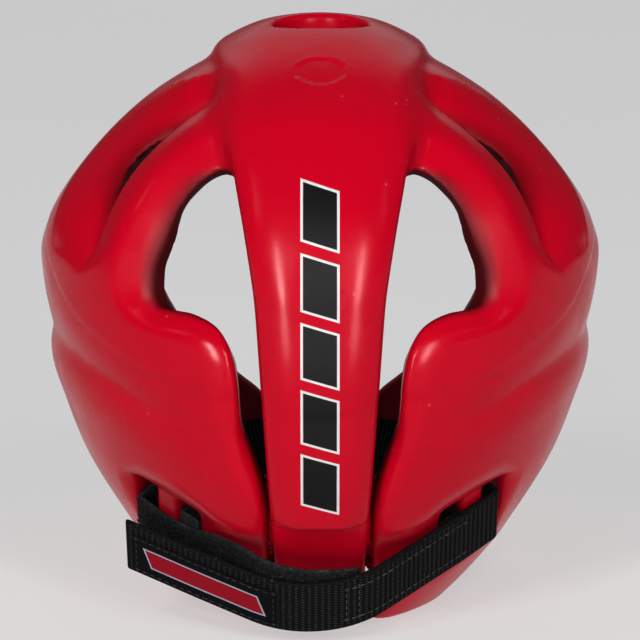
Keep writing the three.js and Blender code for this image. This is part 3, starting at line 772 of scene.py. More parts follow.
STRAP_WIDTH = 25.0
HOOK_LOW = -65.0
LOOP_LOW = -61.5
TAIL_ANGLE = math.radians(28.5)
TAIL_LENGTH = 54.0
LOOP_END = math.radians(34.0)
SEWN_LENGTH = 9.0
FOLD_CORNER = 2.6
HOOK_SLACK = 3.5
LOOP_SLACK = 6.5
# How the straps drift up or down along their run: run, level
HOOK_DRIFT = (
    (0, 0), (30, -1.2), (52, -1.7), (78, -0.6), (104, 0), (142, -1.8), (160, -1.5), (172, -2.0),
    (184, -2.5),
)
LOOP_DRIFT = (
    (0, -4.5), (12, -1.0), (26, 0), (44, 0), (58, -3.2), (72, -9.0), (84, -11.0), (96, -10.5), (112, -9.5),
    (128, -9.0), (140, -5.0),
)
# Loops of the pile: run along the strap that they cover, seed, lean in radians, span of sizes
PILE_REACH = 108.0
PILE_SEED = 7
PILE_LEAN = 0.7
PILE_GROWTH = {"Min": 0.7, "Max": 1.25}
# Places on the hook strap: label from the free end and the lower edge, seams along and across
LABEL_INSET = 4.0
LABEL_RISE = 2.5
LABEL_LIFT = 0.12
STITCH_LIFT = 0.1
SEAM_INSET = 4.6
SEAM_END = 142.0
BOX_SEAM = (86.7, 91.4)
CHIN_LOW = -120.0
CHIN_TURN = math.radians(56.0)
CHIN_GAP = 0.7
CHIN_THICK = 2.0
CHIN_RADIUS = 88.0
# Seams at each end of the chin band: from the end and the edges, and to
CHIN_SEAM = (3.0, 16.0)
# Slant of the blocks on the tongue and of the bar on the label, and how far back the blocks lie
STRIPE_SLANT = 0.3
BAR_SLANT = 0.35
STRIPE_BEHIND = -0.06


def arc_points(centre, radius, start, end, steps=24):
    """Points of an arc in a plane."""
    angles = np.linspace(start, end, steps)
    return np.column_stack((centre[0] + radius * np.cos(angles), centre[1] + radius * np.sin(angles)))


def even_run(points, pitch):
    """Evenly spaced stations along a run of points, with its directions."""
    points = np.concatenate([np.atleast_2d(part) for part in points])
    steps = np.linalg.norm(np.diff(points, axis=0), axis=1)
    points = points[np.concatenate(([True], steps > 1e-6))]
    steps = np.linalg.norm(np.diff(points, axis=0), axis=1)
    length = np.concatenate(([0.0], np.cumsum(steps)))
    run = np.linspace(0.0, length[-1], int(length[-1] / pitch) + 1)
    stations = np.column_stack([np.interp(run, length, points[:, axis]) for axis in range(2)])
    tangent = np.gradient(stations, run, axis=0)
    return run, stations, tangent / np.linalg.norm(tangent, axis=1)[:, None]


def fold_round_bar(inset, half_thick, slack):
    """Run beside the right bar: over it, round it and back under the strap, as along and out."""
    corner = FOLD_CORNER - inset
    reach = BAR_HALF + STRAP_GAP + STRAP_THICK - inset
    outside = reach + slack
    back = BAR_BACK - STRAP_GAP - STRAP_THICK + inset
    under = -STRAP_THICK - 0.1 - half_thick
    quarter = math.pi / 2
    local = np.concatenate((
        arc_points((outside - corner, -inset - corner), corner, quarter, 0.0, 8),
        arc_points((outside - corner, back + corner), corner, 0.0, -quarter, 8),
        arc_points((-reach + corner, back + corner), corner, -quarter, -2 * quarter, 8),
        arc_points((-reach - corner, under - corner), corner, 0.0, quarter, 8),
        [(-reach - SEWN_LENGTH, under)],
    ))
    return BAR_ORIGIN + local[:, :1] * RUN_ALONG + local[:, 1:] * RUN_OUT


def hook_route(inset, half_thick):
    """Middle of the hook strap from its free end to its sewn end."""
    radius = HOOK_ARC[2] - inset
    bend = arc_points(HOOK_ARC[:2], radius, -TAIL_ANGLE - math.pi / 2, RUN_ANGLE - math.pi / 2)
    tail = bend[0] + TAIL_LENGTH * np.array([-math.cos(TAIL_ANGLE), math.sin(TAIL_ANGLE)])
    return [tail, bend, fold_round_bar(inset, half_thick, HOOK_SLACK)]


def loop_route(inset, half_thick):
    """Middle of the loop strap from its end under the hook strap to its sewn end."""
    radius = LOOP_ARC[2] - inset
    bend = arc_points(LOOP_ARC[:2], radius, LOOP_END - math.pi / 2, -RUN_ANGLE - math.pi / 2)
    return [bend, fold_round_bar(inset, half_thick, LOOP_SLACK) * (-1.0, 1.0)]


def from_strap_frame(x, depth, level):
    """Points in the head frame."""
    y = math.cos(STRAP_TIP) * depth - math.sin(STRAP_TIP) * level
    z = math.sin(STRAP_TIP) * depth + math.cos(STRAP_TIP) * level
    return np.stack(np.broadcast_arrays(x, y, z), axis=-1)


def band_section(width, thick, rows):
    """Section of a flat band with round selvedges: across, out, share of the weave."""
    half = thick / 2
    across = np.linspace(half, width - half, rows)
    turn = np.linspace(0.0, math.pi, 8)[1:-1]
    flat = np.ones(rows)
    edge = np.zeros(turn.size)
    upper = np.column_stack((width - half + half * np.sin(turn), half * np.cos(turn), edge))
    lower = np.column_stack((half - half * np.sin(turn), -half * np.cos(turn), edge))
    return np.concatenate((
        np.column_stack((across, half * flat, flat)), upper,
        np.column_stack((across[::-1], -half * flat, flat)), lower,
    ))


class BandOnStraps:
    """Flat band that follows a route in the strap frame."""

    def __init__(self, route, side, low, drift, pitch):
        self.run, self.stations, tangent = even_run(route, pitch)
        self.out = side * np.column_stack((tangent[:, 1], -tangent[:, 0]))
        self.low = low
        self.drift = drift

    def place(self, run, across, out):
        """Points in the head frame."""
        x, depth = (np.interp(run, self.run, self.stations[:, axis]) for axis in range(2))
        out_x, out_depth = (np.interp(run, self.run, self.out[:, axis]) for axis in range(2))
        level = self.low + along(self.drift, run) + across
        return from_strap_frame(x + out * out_x, depth + out * out_depth, level)


class LabelOnBand:
    """Flat band that lies on a stretch of another band."""

    def __init__(self, strap, start, end, out):
        self.strap = strap
        self.start = start
        self.out = out
        self.run = np.linspace(0.0, end - start, int((end - start) / 0.5) + 1)

    def place(self, run, across, out):
        """Points in the head frame."""
        return self.strap.place(self.start + run, across, self.out + out)


class BandOnChin:
    """Flat band that lies inside the jaw ends and crosses the gap between them."""

    def __init__(self, wall, pitch):
        self.growth = -wall - CHIN_GAP - CHIN_THICK / 2
        self.reach = 2.0 * CHIN_TURN * CHIN_RADIUS
        self.run = np.linspace(0.0, self.reach, int(self.reach / pitch) + 1)

    def place(self, run, across, out):
        """Points in the head frame."""
        level = CHIN_LOW + across
        turn = (run / self.reach * 2.0 - 1.0) * CHIN_TURN
        half, middle, front = (np.interp(level, table[0], table[1])
                               for table in (HALF_TABLE, MID_TABLE, FRONT_TABLE))
        growth = self.growth + out
        x = np.sin(turn) * (half + growth)
        y = middle + np.cos(turn) * (front - middle + growth)
        return np.stack(np.broadcast_arrays(x, y, level), axis=-1)


def band_mesh(band, section, taper=0.8):
    """Closed mesh of a band, with its run, width and share of weave at each point."""
    run = band.run[:, None]
    across, out, weave = (section[None, :, column] for column in range(3))
    ends = np.minimum(run, run[-1] - run)
    sealed = 0.55 + 0.45 * step_up(ends, 0.0, taper)
    points = band.place(run, across, out * sealed)
    count, ring = points.shape[:2]
    number = np.arange(count * ring).reshape(count, ring)
    ahead = np.roll(number, -1, axis=1)
    quads = np.stack((number[:-1], ahead[:-1], ahead[1:], number[1:]), axis=-1).reshape(-1, 4)
    faces = quads.tolist() + [number[0][::-1].tolist(), number[-1].tolist()]
    marks = {
        "run": np.broadcast_to(run, number.shape).ravel(),
        "across": np.broadcast_to(across, number.shape).ravel(),
        "weave": (weave * step_up(ends, 0.0, 2.0)).ravel(),
        "outer": np.broadcast_to(out > 0.99 * out.max(), number.shape).ravel().astype(float),
    }
    return points.reshape(-1, 3), faces, marks


def banded_object(name, band, section, material):
    """Object of a band whose marks are attributes, with run and width as its UV map."""
    points, faces, marks = band_mesh(band, section)
    obj = new_object(name, points, faces, material)
    mesh = obj.data
    shape = bmesh.new()
    shape.from_mesh(mesh)
    bmesh.ops.recalc_face_normals(shape, faces=shape.faces)
    shape.to_mesh(mesh)
    shape.free()
    for mark, values in marks.items():
        attribute = mesh.attributes.new(mark, "FLOAT", "POINT")
        scale = MM if mark in ("run", "across") else 1.0
        attribute.data.foreach_set("value", np.asarray(values, np.float32) * scale)
    corners = np.empty(len(mesh.loops), np.int32)
    mesh.loops.foreach_get("vertex_index", corners)
    spread = np.column_stack((marks["run"], marks["across"]))[corners] * MM
    mesh.uv_layers.new(name="strap").data.foreach_set("uv", spread.astype(np.float32).ravel())
    return obj


# Node trees

FLOAT = "NodeSocketFloat"
VECTOR = "NodeSocketVector"
GEOMETRY = "NodeSocketGeometry"
MATERIAL = "NodeSocketMaterial"


def feed(tree, socket, value):
    """Links a socket to another one, or sets its value."""
    if isinstance(value, bpy.types.NodeSocket):
        tree.links.new(value, socket)
    else:
        socket.default_value = value


def add_node(tree, kind, inputs=(), **settings):
    """Node with some of its settings made and some of its inputs linked or set."""
    made = tree.nodes.new(kind)
    for key, value in settings.items():
        setattr(made, key, value)
    for label, value in dict(inputs).items():
        feed(tree, made.inputs[label], value)
    return made


def maths(tree, operation, *values):
    """Result of a calculation."""
    made = add_node(tree, "ShaderNodeMath", operation=operation)
    for socket, value in zip(made.inputs, values):
        feed(tree, socket, value)
    return made.outputs[0]


def wave(tree, turns):
    """Cosine of a number of whole turns."""
    return maths(tree, "COSINE", maths(tree, "MULTIPLY", turns, math.tau))


def span(tree, value, low, high, new_low=0.0, new_high=1.0):
    """Value smoothly brought from one span to another."""
    made = add_node(tree, "ShaderNodeMapRange", interpolation_type="SMOOTHSTEP")
    for socket, number in zip(made.inputs, (value, low, high, new_low, new_high)):
        feed(tree, socket, number)
    return made.outputs["Result"]


def within(tree, distance, edge=0.0, soft=0.0001):
    """Mask of what lies closer than an edge, with a soft rim."""
    return span(tree, distance, edge - soft, edge + soft, 1.0, 0.0)


def axes(tree, vector):
    """Parts X, Y and Z of a vector."""
    return add_node(tree, "ShaderNodeSeparateXYZ", {"Vector": vector}).outputs


def blend_colour(tree, share, first, second):
    """Colour between two colours."""
    made = add_node(tree, "ShaderNodeMix", {"Factor": share}, data_type="RGBA")
    for name, colour in (("A", first), ("B", second)):
        socket = next(s for s in made.inputs if s.name == name and s.type == "RGBA")
        feed(tree, socket, colour if isinstance(colour, bpy.types.NodeSocket) else (*colour, 1.0))
    return next(s for s in made.outputs if s.type == "RGBA")


def new_tree(name, kind, inputs, outputs):
    """Node group with named sockets, with what it is given and what it puts out."""
    tree = bpy.data.node_groups.new(name, kind)
    for direction, sockets in (("INPUT", inputs), ("OUTPUT", outputs)):
        for label, socket_kind in sockets:
            tree.interface.new_socket(label, in_out=direction, socket_type=socket_kind)
    return tree, tree.nodes.new("NodeGroupInput").outputs, tree.nodes.new("NodeGroupOutput").inputs


def geometry_tree(name, *inputs):
    """Tree that takes a mesh, some more inputs and a material."""
    sockets = (("Geometry", GEOMETRY), *inputs, ("Material", MATERIAL))
    return new_tree(name, "GeometryNodeTree", sockets, (("Geometry", GEOMETRY),))


def finish_tree(tree, geometry, given, made):
    """Last nodes of a tree: real meshes with their material."""
    real = add_node(tree, "GeometryNodeRealizeInstances", {"Geometry": geometry})
    painted = add_node(tree, "GeometryNodeSetMaterial",
                       {"Geometry": real.outputs["Geometry"], "Material": given["Material"]})
    feed(tree, made["Geometry"], painted.outputs["Geometry"])
    return tree


def mark_value(tree, mark):
    """Value of a mark on the points of a band."""
    reader = add_node(tree, "GeometryNodeInputNamedAttribute", {"Name": mark}, data_type="FLOAT")
    return reader.outputs["Attribute"]


def rib_tree():
    """Tree that raises the cross ribs and threads of woven webbing on a band."""
    tree, given, made = geometry_tree(
        "webbing_ribs", ("Rib spacing", FLOAT), ("Rib height", FLOAT), ("Thread spacing", FLOAT))
    run, across, weave = (mark_value(tree, mark) for mark in ("run", "across", "weave"))
    turns = maths(tree, "DIVIDE", run, given["Rib spacing"])
    threads = maths(tree, "DIVIDE", across, given["Thread spacing"])
    slanted = maths(tree, "ADD", threads, maths(tree, "MULTIPLY", turns, 0.5))
    thread = maths(tree, "MULTIPLY_ADD", wave(tree, slanted), 0.35, 0.65)
    rib = maths(tree, "MULTIPLY", wave(tree, turns), thread)
    height = maths(tree, "MULTIPLY", rib, given["Rib height"])
    normal = add_node(tree, "GeometryNodeInputNormal").outputs["Normal"]
    offset = add_node(tree, "ShaderNodeVectorMath", {"Scale": maths(tree, "MULTIPLY", height, weave)},
                      operation="SCALE")
    feed(tree, offset.inputs[0], normal)
    move = add_node(tree, "GeometryNodeSetPosition",
                    {"Geometry": given["Geometry"], "Offset": offset.outputs["Vector"]})
    return finish_tree(tree, move.outputs["Geometry"], given, made)


def stitch_tree():
    """Tree that lays stitches along the edges of a mesh."""
    tree, given, made = geometry_tree(
        "stitch_row", ("Spacing", FLOAT), ("Stitch length", FLOAT), ("Thread radius", FLOAT))
    path = add_node(tree, "GeometryNodeMeshToCurve", {"Mesh": given["Geometry"]})
    places = add_node(tree, "GeometryNodeCurveToPoints",
                      {"Curve": path.outputs["Curve"], "Length": given["Spacing"]}, mode="LENGTH")
    stitch = add_node(tree, "GeometryNodeMeshUVSphere", {"Segments": 6, "Rings": 5, "Radius": 1.0})
    size = add_node(tree, "ShaderNodeCombineXYZ", {
        "X": given["Thread radius"], "Y": given["Thread radius"],
        "Z": maths(tree, "MULTIPLY", given["Stitch length"], 0.5)})
    copies = add_node(tree, "GeometryNodeInstanceOnPoints", {
        "Points": places.outputs["Points"], "Instance": stitch.outputs["Mesh"],
        "Rotation": places.outputs["Rotation"], "Scale": size.outputs["Vector"]})
    return finish_tree(tree, copies.outputs["Instances"], given, made)


def pile_tree():
    """Tree that covers the outer face of a band with small thread loops."""
    tree, given, made = geometry_tree("loop_pile", ("Density", FLOAT), ("Loop radius", FLOAT),
                                      ("Thread radius", FLOAT), ("Seed", "NodeSocketInt"))
    density = maths(tree, "MULTIPLY", mark_value(tree, "pile"), given["Density"])
    places = add_node(tree, "GeometryNodeDistributePointsOnFaces",
                      {"Mesh": given["Geometry"], "Density": density, "Seed": given["Seed"]})
    arch = add_node(tree, "GeometryNodeCurveArc", {
        "Resolution": 7, "Radius": given["Loop radius"],
        "Start Angle": math.radians(-35.0), "Sweep Angle": math.radians(250.0)})
    thread = add_node(tree, "GeometryNodeCurvePrimitiveCircle",
                      {"Resolution": 3, "Radius": given["Thread radius"]})
    tube = add_node(tree, "GeometryNodeCurveToMesh",
                    {"Curve": arch.outputs["Curve"], "Profile Curve": thread.outputs["Curve"]})
    stand = add_node(tree, "GeometryNodeTransform",
                     {"Geometry": tube.outputs["Mesh"], "Rotation": (math.radians(90.0), 0.0, 0.0)})
    lean = add_node(tree, "FunctionNodeRandomValue",
                    {"Min": (-PILE_LEAN, -PILE_LEAN, 0.0), "Max": (PILE_LEAN, PILE_LEAN, math.tau)},
                    data_type="FLOAT_VECTOR")
    turned = add_node(tree, "FunctionNodeRotateRotation",
                      {"Rotation": places.outputs["Rotation"], "Rotate By": lean.outputs["Value"]},
                      rotation_space="LOCAL")
    grown = add_node(tree, "FunctionNodeRandomValue", data_type="FLOAT")
    for socket in grown.inputs:
        if socket.type == "VALUE" and socket.name in PILE_GROWTH:
            socket.default_value = PILE_GROWTH[socket.name]
    copies = add_node(tree, "GeometryNodeInstanceOnPoints", {
        "Points": places.outputs["Points"], "Instance": stand.outputs["Geometry"],
        "Rotation": turned.outputs["Rotation"],
        "Scale": next(s for s in grown.outputs if s.type == "VALUE")})
    both = add_node(tree, "GeometryNodeJoinGeometry")
    for part in (given["Geometry"], copies.outputs["Instances"]):
        feed(tree, both.inputs["Geometry"], part)
    return finish_tree(tree, both.outputs["Geometry"], given, made)


def grow(obj, tree, **values):
    """Runs a tree on an object and keeps the result as its plain mesh."""
    modifier = obj.modifiers.new(tree.name, "NODES")
    modifier.node_group = tree
    for socket in tree.interface.items_tree:
        label = socket.name.lower().replace(" ", "_")
        if socket.in_out == "INPUT" and label in values:
            modifier[socket.identifier] = values[label]
    graph = bpy.context.evaluated_depsgraph_get()
    mesh = bpy.data.meshes.new_from_object(obj.evaluated_get(graph))
    obj.modifiers.remove(modifier)
    if not mesh.polygons:
        raise RuntimeError(f"{tree.name} made nothing on {obj.name}")
    mesh.name = obj.name
    obj.data = mesh


def weave_ribs(obj, settings, material):
    """Raises the ribs of webbing on a band."""
    grow(obj, rib_tree(), rib_spacing=settings.rib_spacing, rib_height=settings.rib_height,
         thread_spacing=settings.thread_spacing, material=material)


def dress(obj, slot, *nodes):
    """Ties a finished piece to the frame."""
    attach(obj, "root")
    if nodes:
        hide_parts(*nodes)


# Materials


def noise(tree, vector, scale, detail=2.0):
    """Smooth noise from 0 to 1."""
    made = add_node(tree, "ShaderNodeTexNoise", {"Vector": vector, "Scale": scale, "Detail": detail})
    return made.outputs[0]


def speck_group():
    """Group of sparse small specks, such as dust and lint."""
    tree, given, made = new_tree("fine_specks", "ShaderNodeTree", (
        ("Vector", VECTOR), ("Scale", FLOAT), ("Share", FLOAT)), (("Mask", FLOAT),))
    cells = add_node(tree, "ShaderNodeTexVoronoi", {"Vector": given["Vector"], "Scale": given["Scale"]})
    chance = add_node(tree, "ShaderNodeSeparateColor", {"Color": cells.outputs["Color"]})
    chosen = maths(tree, "LESS_THAN", chance.outputs["Red"], given["Share"])
    close = span(tree, cells.outputs["Distance"], 0.08, 0.2, 1.0, 0.0)
    feed(tree, made["Mask"], maths(tree, "MULTIPLY", chosen, close))


def weave_group():
    """Group of the threads in woven cloth, from run and width in metres."""
    tree, given, made = new_tree("thread_weave", "ShaderNodeTree", (
        ("Vector", VECTOR), ("Rib spacing", FLOAT), ("Thread spacing", FLOAT), ("Fuzz", FLOAT)),
        (("Height", FLOAT), ("Shade", FLOAT)))
    place = axes(tree, given["Vector"])
    ribs = maths(tree, "DIVIDE", place["X"], given["Rib spacing"])
    threads = maths(tree, "DIVIDE", place["Y"], given["Thread spacing"])
    slanted = maths(tree, "MULTIPLY_ADD", ribs, 0.5, threads)
    bumps = maths(tree, "MULTIPLY", *(maths(tree, "MULTIPLY_ADD", wave(tree, turns), 0.5, 0.5)
                                      for turns in (ribs, slanted)))
    fuzz = maths(tree, "SUBTRACT", noise(tree, given["Vector"], 2600.0, 3.0), 0.5)
    height = maths(tree, "ADD", bumps, maths(tree, "MULTIPLY", fuzz, given["Fuzz"]))
    feed(tree, made["Height"], height)
    # Shade: painted light and shade, lighter on the higher threads and darker in the hollows
    feed(tree, made["Shade"], span(tree, height, 0.15, 1.0))


def use_group(tree, name, vector, **values):
    """Places a shared group in a material and gives back its outputs."""
    made = add_node(tree, "ShaderNodeGroup", node_tree=bpy.data.node_groups[name])
    feed(tree, made.inputs["Vector"], vector)
    for label, value in values.items():
        made.inputs[label.replace("_", " ").capitalize()].default_value = value
    return made.outputs


def bump(tree, shader, height, strength, distance):
    """Gives a shader a bumpy surface."""
    made = add_node(tree, "ShaderNodeBump", {"Strength": strength, "Distance": distance, "Height": height})
    feed(tree, shader.inputs["Normal"], made.outputs["Normal"])


def new_material(name):
    """Material with its node tree and its shader."""
    material = bpy.data.materials.new(name)
    material.use_nodes = True
    return material, material.node_tree, material.node_tree.nodes["Principled BSDF"]


def object_place(tree):
    """Place on the object, which is also the place in the frame."""
    return add_node(tree, "ShaderNodeTexCoord").outputs["Object"]


def strap_spread(tree):
    """Run and width of a band, from its UV map."""
    return add_node(tree, "ShaderNodeUVMap", uv_map="strap").outputs["UV"]


def finish_shader(tree, shader, tone, rough, specular):
    """Gives a shader its colour, roughness and share of reflection."""
    feed(tree, shader.inputs["Base Color"], tone)
    feed(tree, shader.inputs["Roughness"], rough)
    feed(tree, shader.inputs["Specular IOR Level"], specular)


def stripe_masks(tree, place, inside, settings):
    """Ink and pale outline of the plain stripe on the tongue."""
    x, y, z = axes(tree, place)
    low, high = settings.stripe_low, settings.stripe_high
    pitch = (high - low) / settings.block_count
    beside = maths(tree, "SUBTRACT", maths(tree, "ABSOLUTE", x), settings.stripe_width / 2)
    slanted = maths(tree, "MULTIPLY_ADD", x, STRIPE_SLANT, z)
    rise = maths(tree, "WRAP", slanted, low + pitch, low)
    above = maths(tree, "ABSOLUTE", maths(tree, "SUBTRACT", rise, low + pitch / 2))
    above = maths(tree, "SUBTRACT", above, pitch / 2 - settings.block_gap / 2)
    beyond = maths(tree, "MAXIMUM", beside, above)
    kept = maths(tree, "LESS_THAN", inside, 0.5)
    for test in (maths(tree, "LESS_THAN", y, STRIPE_BEHIND), maths(tree, "GREATER_THAN", slanted, low),
                 maths(tree, "LESS_THAN", slanted, high)):
        kept = maths(tree, "MULTIPLY", kept, test)
    return [maths(tree, "MULTIPLY", within(tree, beyond, edge), kept)
            for edge in (0.0, settings.stripe_rim)]


def foam_material(settings):
    """Satin skin of moulded foam with a plain printed stripe."""
    material, tree, shader = new_material("foam_skin")
    place = object_place(tree)
    cloud = span(tree, noise(tree, place, 14.0, 3.0), 0.3, 0.7)
    specks = use_group(tree, "fine_specks", place, scale=260.0, share=0.03)["Mask"]
    # inside: darker, duller skin of the hollow, painted shade where it runs up the walls of the openings
    inside = add_node(tree, "ShaderNodeAttribute", attribute_name="inside").outputs["Fac"]
    ink, edge = stripe_masks(tree, place, inside, settings)
    tone = settings.colour
    dust = maths(tree, "MULTIPLY", specks, 0.3)
    for mask, colour in ((cloud, settings.deep_colour), (dust, settings.speck_colour),
                         (inside, settings.inside_shade_colour), (edge, settings.rim_colour),
                         (ink, settings.print_colour)):
        tone = blend_colour(tree, mask, tone, colour)
    rough = settings.roughness
    satin = span(tree, noise(tree, place, 45.0, 4.0), 0.3, 0.7, rough - 0.04, rough + 0.06)
    satin = maths(tree, "MULTIPLY_ADD", inside, 0.4, satin)
    satin = maths(tree, "MULTIPLY_ADD", edge, 0.25, satin)
    grain = maths(tree, "MULTIPLY_ADD", noise(tree, place, 900.0), 0.35, noise(tree, place, 70.0))
    bump(tree, shader, maths(tree, "ADD", grain, specks), 0.1, 0.0005)
    finish_shader(tree, shader, tone, satin, settings.reflection)
    return material


def webbing_material(settings):
    """Black ribbed webbing."""
    material, tree, shader = new_material("black_webbing")
    spread = strap_spread(tree)
    weave = use_group(tree, "thread_weave", spread, rib_spacing=settings.rib_spacing,
                      thread_spacing=settings.thread_spacing, fuzz=1.3)
    lint = use_group(tree, "fine_specks", spread, scale=1100.0, share=0.2)["Mask"]
    flat = add_node(tree, "ShaderNodeAttribute", attribute_name="weave").outputs["Fac"]
    # Painted highlight on the tops of the threads, painted shade between them
    peaks = maths(tree, "MULTIPLY", maths(tree, "POWER", weave["Shade"], 2.2), flat)
    tone = blend_colour(tree, peaks, settings.webbing_colour, settings.thread_tone_and_highlight_colour)
    tone = blend_colour(tree, maths(tree, "MULTIPLY", lint, 0.6), tone, settings.lint_colour)
    bump(tree, shader, weave["Height"], 0.6, 0.0003)
    finish_shader(tree, shader, tone, span(tree, weave["Height"], 0.0, 1.0, 0.85, 0.6), 0.1)
    return material


def pile_material(settings):
    """Black thread of the loop pile."""
    material, tree, shader = new_material("black_loop_pile")
    place = object_place(tree)
    shade = noise(tree, place, 900.0, 3.0)
    lint = use_group(tree, "fine_specks", place, scale=800.0, share=0.3)["Mask"]
    tone = blend_colour(tree, span(tree, shade, 0.42, 0.8), settings.webbing_colour, settings.thread_tone_and_highlight_colour)
    tone = blend_colour(tree, maths(tree, "MULTIPLY", lint, 0.35), tone, settings.lint_colour)
    finish_shader(tree, shader, tone, span(tree, shade, 0.2, 0.8, 0.95, 0.75), 0.25)
    return material


def label_material(settings):
    """Satin woven label with a plain slanted bar."""
    material, tree, shader = new_material("woven_label")
    spread = strap_spread(tree)
    weave = use_group(tree, "thread_weave", spread, rib_spacing=0.0006, thread_spacing=0.0005, fuzz=0.3)
    place = axes(tree, spread)
    across = maths(tree, "SUBTRACT", place["Y"], settings.label_width / 2)
    slanted = maths(tree, "MULTIPLY_ADD", across, BAR_SLANT, place["X"])
    along_bar = maths(tree, "ABSOLUTE", maths(tree, "SUBTRACT", slanted, settings.label_length / 2))
    beyond = maths(tree, "MAXIMUM", maths(tree, "SUBTRACT", along_bar, settings.bar_length / 2),
                   maths(tree, "SUBTRACT", maths(tree, "ABSOLUTE", across), settings.bar_width / 2))
    ragged = maths(tree, "MULTIPLY_ADD", weave["Height"], 0.00012, beyond)
    # Painted highlight: a lighter copy of the ground colour on the raised threads
    raised = tuple(2.2 * part for part in settings.label_colour)
    tone = blend_colour(tree, weave["Shade"], settings.label_colour, raised)
    tone = blend_colour(tree, within(tree, ragged, 0.0007), tone, settings.rim_colour)
    # Painted highlight on the bar's raised threads, painted shade between them
    lit = blend_colour(tree, weave["Shade"], settings.bar_colour, settings.bar_lit)
    tone = blend_colour(tree, within(tree, ragged), tone, lit)
    bump(tree, shader, weave["Height"], 0.4, 0.0001)
    finish_shader(tree, shader, tone, span(tree, weave["Height"], 0.0, 1.0, 0.7, 0.45), 0.06)
    return material


def thread_material(name, colour):
    """Sewing thread."""
    material, tree, shader = new_material(name)
    place = object_place(tree)
    twist = noise(tree, place, 420.0, 3.0)
    dark = tuple(0.2 * part for part in colour)
    tone = blend_colour(tree, span(tree, twist, 0.3, 0.7), dark, colour)
    finish_shader(tree, shader, tone, span(tree, twist, 0.2, 0.8, 0.55, 0.75), 0.5)
    return material


class GUARD_OT_stage(bpy.types.Operator):
    """Makes the floor, the lights and the camera"""

    bl_idname = "guard.stage"
    bl_label = "Stage"

    def execute(self, context):
        settings = context.scene.guard_stage
        scene = context.scene
        camera = bpy.data.cameras.new("camera")
        camera.lens = settings.lens
        camera.sensor_width = 36.0
        camera.clip_end = 50.0
        viewer = bpy.data.objects.new("camera", camera)
        viewer.location = (np.array(VIEW_POINT) + REST) * MM
        viewer.rotation_euler = (math.radians(90.0) - settings.view_tip, 0.0, 0.0)
        scene.collection.objects.link(viewer)
        scene.camera = viewer
        self.floor(scene, settings)
        for row in LIGHTS:
            self.lamp(scene, settings, *row)
        self.surroundings(scene, settings)
        scene.view_settings.view_transform = "Standard"
        scene.view_settings.gamma = settings.gamma
        return {"FINISHED"}

    def lamp(self, scene, settings, name, place, power, width, height, rays):
        """Soft lamp that is turned to the guard."""
        lamp = bpy.data.lights.new(name, "AREA")
        lamp.energy = power * settings.light
        lamp.shape = "RECTANGLE"
        lamp.size = width
        lamp.size_y = height
        holder = bpy.data.objects.new(name, lamp)
        holder.location = place
        aim = Vector(LAMP_AIM) - holder.location
        holder.rotation_euler = aim.to_track_quat("-Z", "Y").to_euler()
        holder.visible_camera = False
        holder.visible_diffuse = rays != "glossy"
        holder.visible_glossy = rays != "diffuse"
        scene.collection.objects.link(holder)

    def floor(self, scene, settings):
        """Plain pale floor."""
        material, tree, shader = new_material("floor_paper")
        place = object_place(tree)
        pale = tuple(0.97 * part for part in settings.floor_colour)
        share = span(tree, noise(tree, place, 3.0), 0.3, 0.7)
        tone = blend_colour(tree, share, settings.floor_colour, pale)
        finish_shader(tree, shader, tone, 0.9, 0.5)
        shader.inputs["Emission Color"].default_value = (1.0, 1.0, 1.0, 1.0)
        shader.inputs["Emission Strength"].default_value = settings.floor_glow
        mesh = bpy.data.meshes.new("floor")
        corners = [(FLOOR_REACH * x, FLOOR_REACH * y, 0.0) for x, y in ((-1, -1), (1, -1), (1, 1), (-1, 1))]
        mesh.from_pydata(corners, [], [(0, 1, 2, 3)])
        mesh.materials.append(material)
        floor = bpy.data.objects.new("floor", mesh)
        scene.collection.objects.link(floor)
        floor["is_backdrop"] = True

    def surroundings(self, scene, settings):
        """Soft surroundings, dark on the viewer's side and pale behind the guard."""
        world = bpy.data.worlds.new("studio")
        world.use_nodes = True
        tree = world.node_tree
        view = axes(tree, add_node(tree, "ShaderNodeTexCoord").outputs["Generated"])
        glow = span(tree, view["Y"], -0.55, 0.5, settings.near_glow, settings.far_glow)
        backdrop = tree.nodes["Background"]
        backdrop.inputs["Color"].default_value = (0.95, 0.97, 1.0, 1.0)
        feed(tree, backdrop.inputs["Strength"], glow)
        scene.world = world


class GUARD_OT_finishes(bpy.types.Operator):
    """Makes the groups of nodes that the pieces and their materials share"""

    bl_idname = "guard.finishes"
    bl_label = "Shared finishes"

    def execute(self, context):
        speck_group()
        weave_group()
        return {"FINISHED"}


class GUARD_OT_shell(bpy.types.Operator):
    """Makes the moulded foam shell"""

    bl_idname = "guard.shell"
    bl_label = "Foam shell"

    def execute(self, context):
        settings = context.scene.guard_shell
        form = FoamForm(settings)
        points, faces, normals = foam_mesh(form, settings.pitch / MM)
        obj = new_object("foam_shell", points, faces, foam_material(settings))
        obj.data.normals_split_custom_set_from_vertices(normals.tolist())
        # The inside mark puts the darker hollow colour on the shell, painted shade up the opening walls
        attribute = obj.data.attributes.new("inside", "FLOAT", "POINT")
        attribute.data.foreach_set("value", form.inside_shade_share(points).astype(np.float32))
        dress(obj, "foam", "shell")
        return {"FINISHED"}


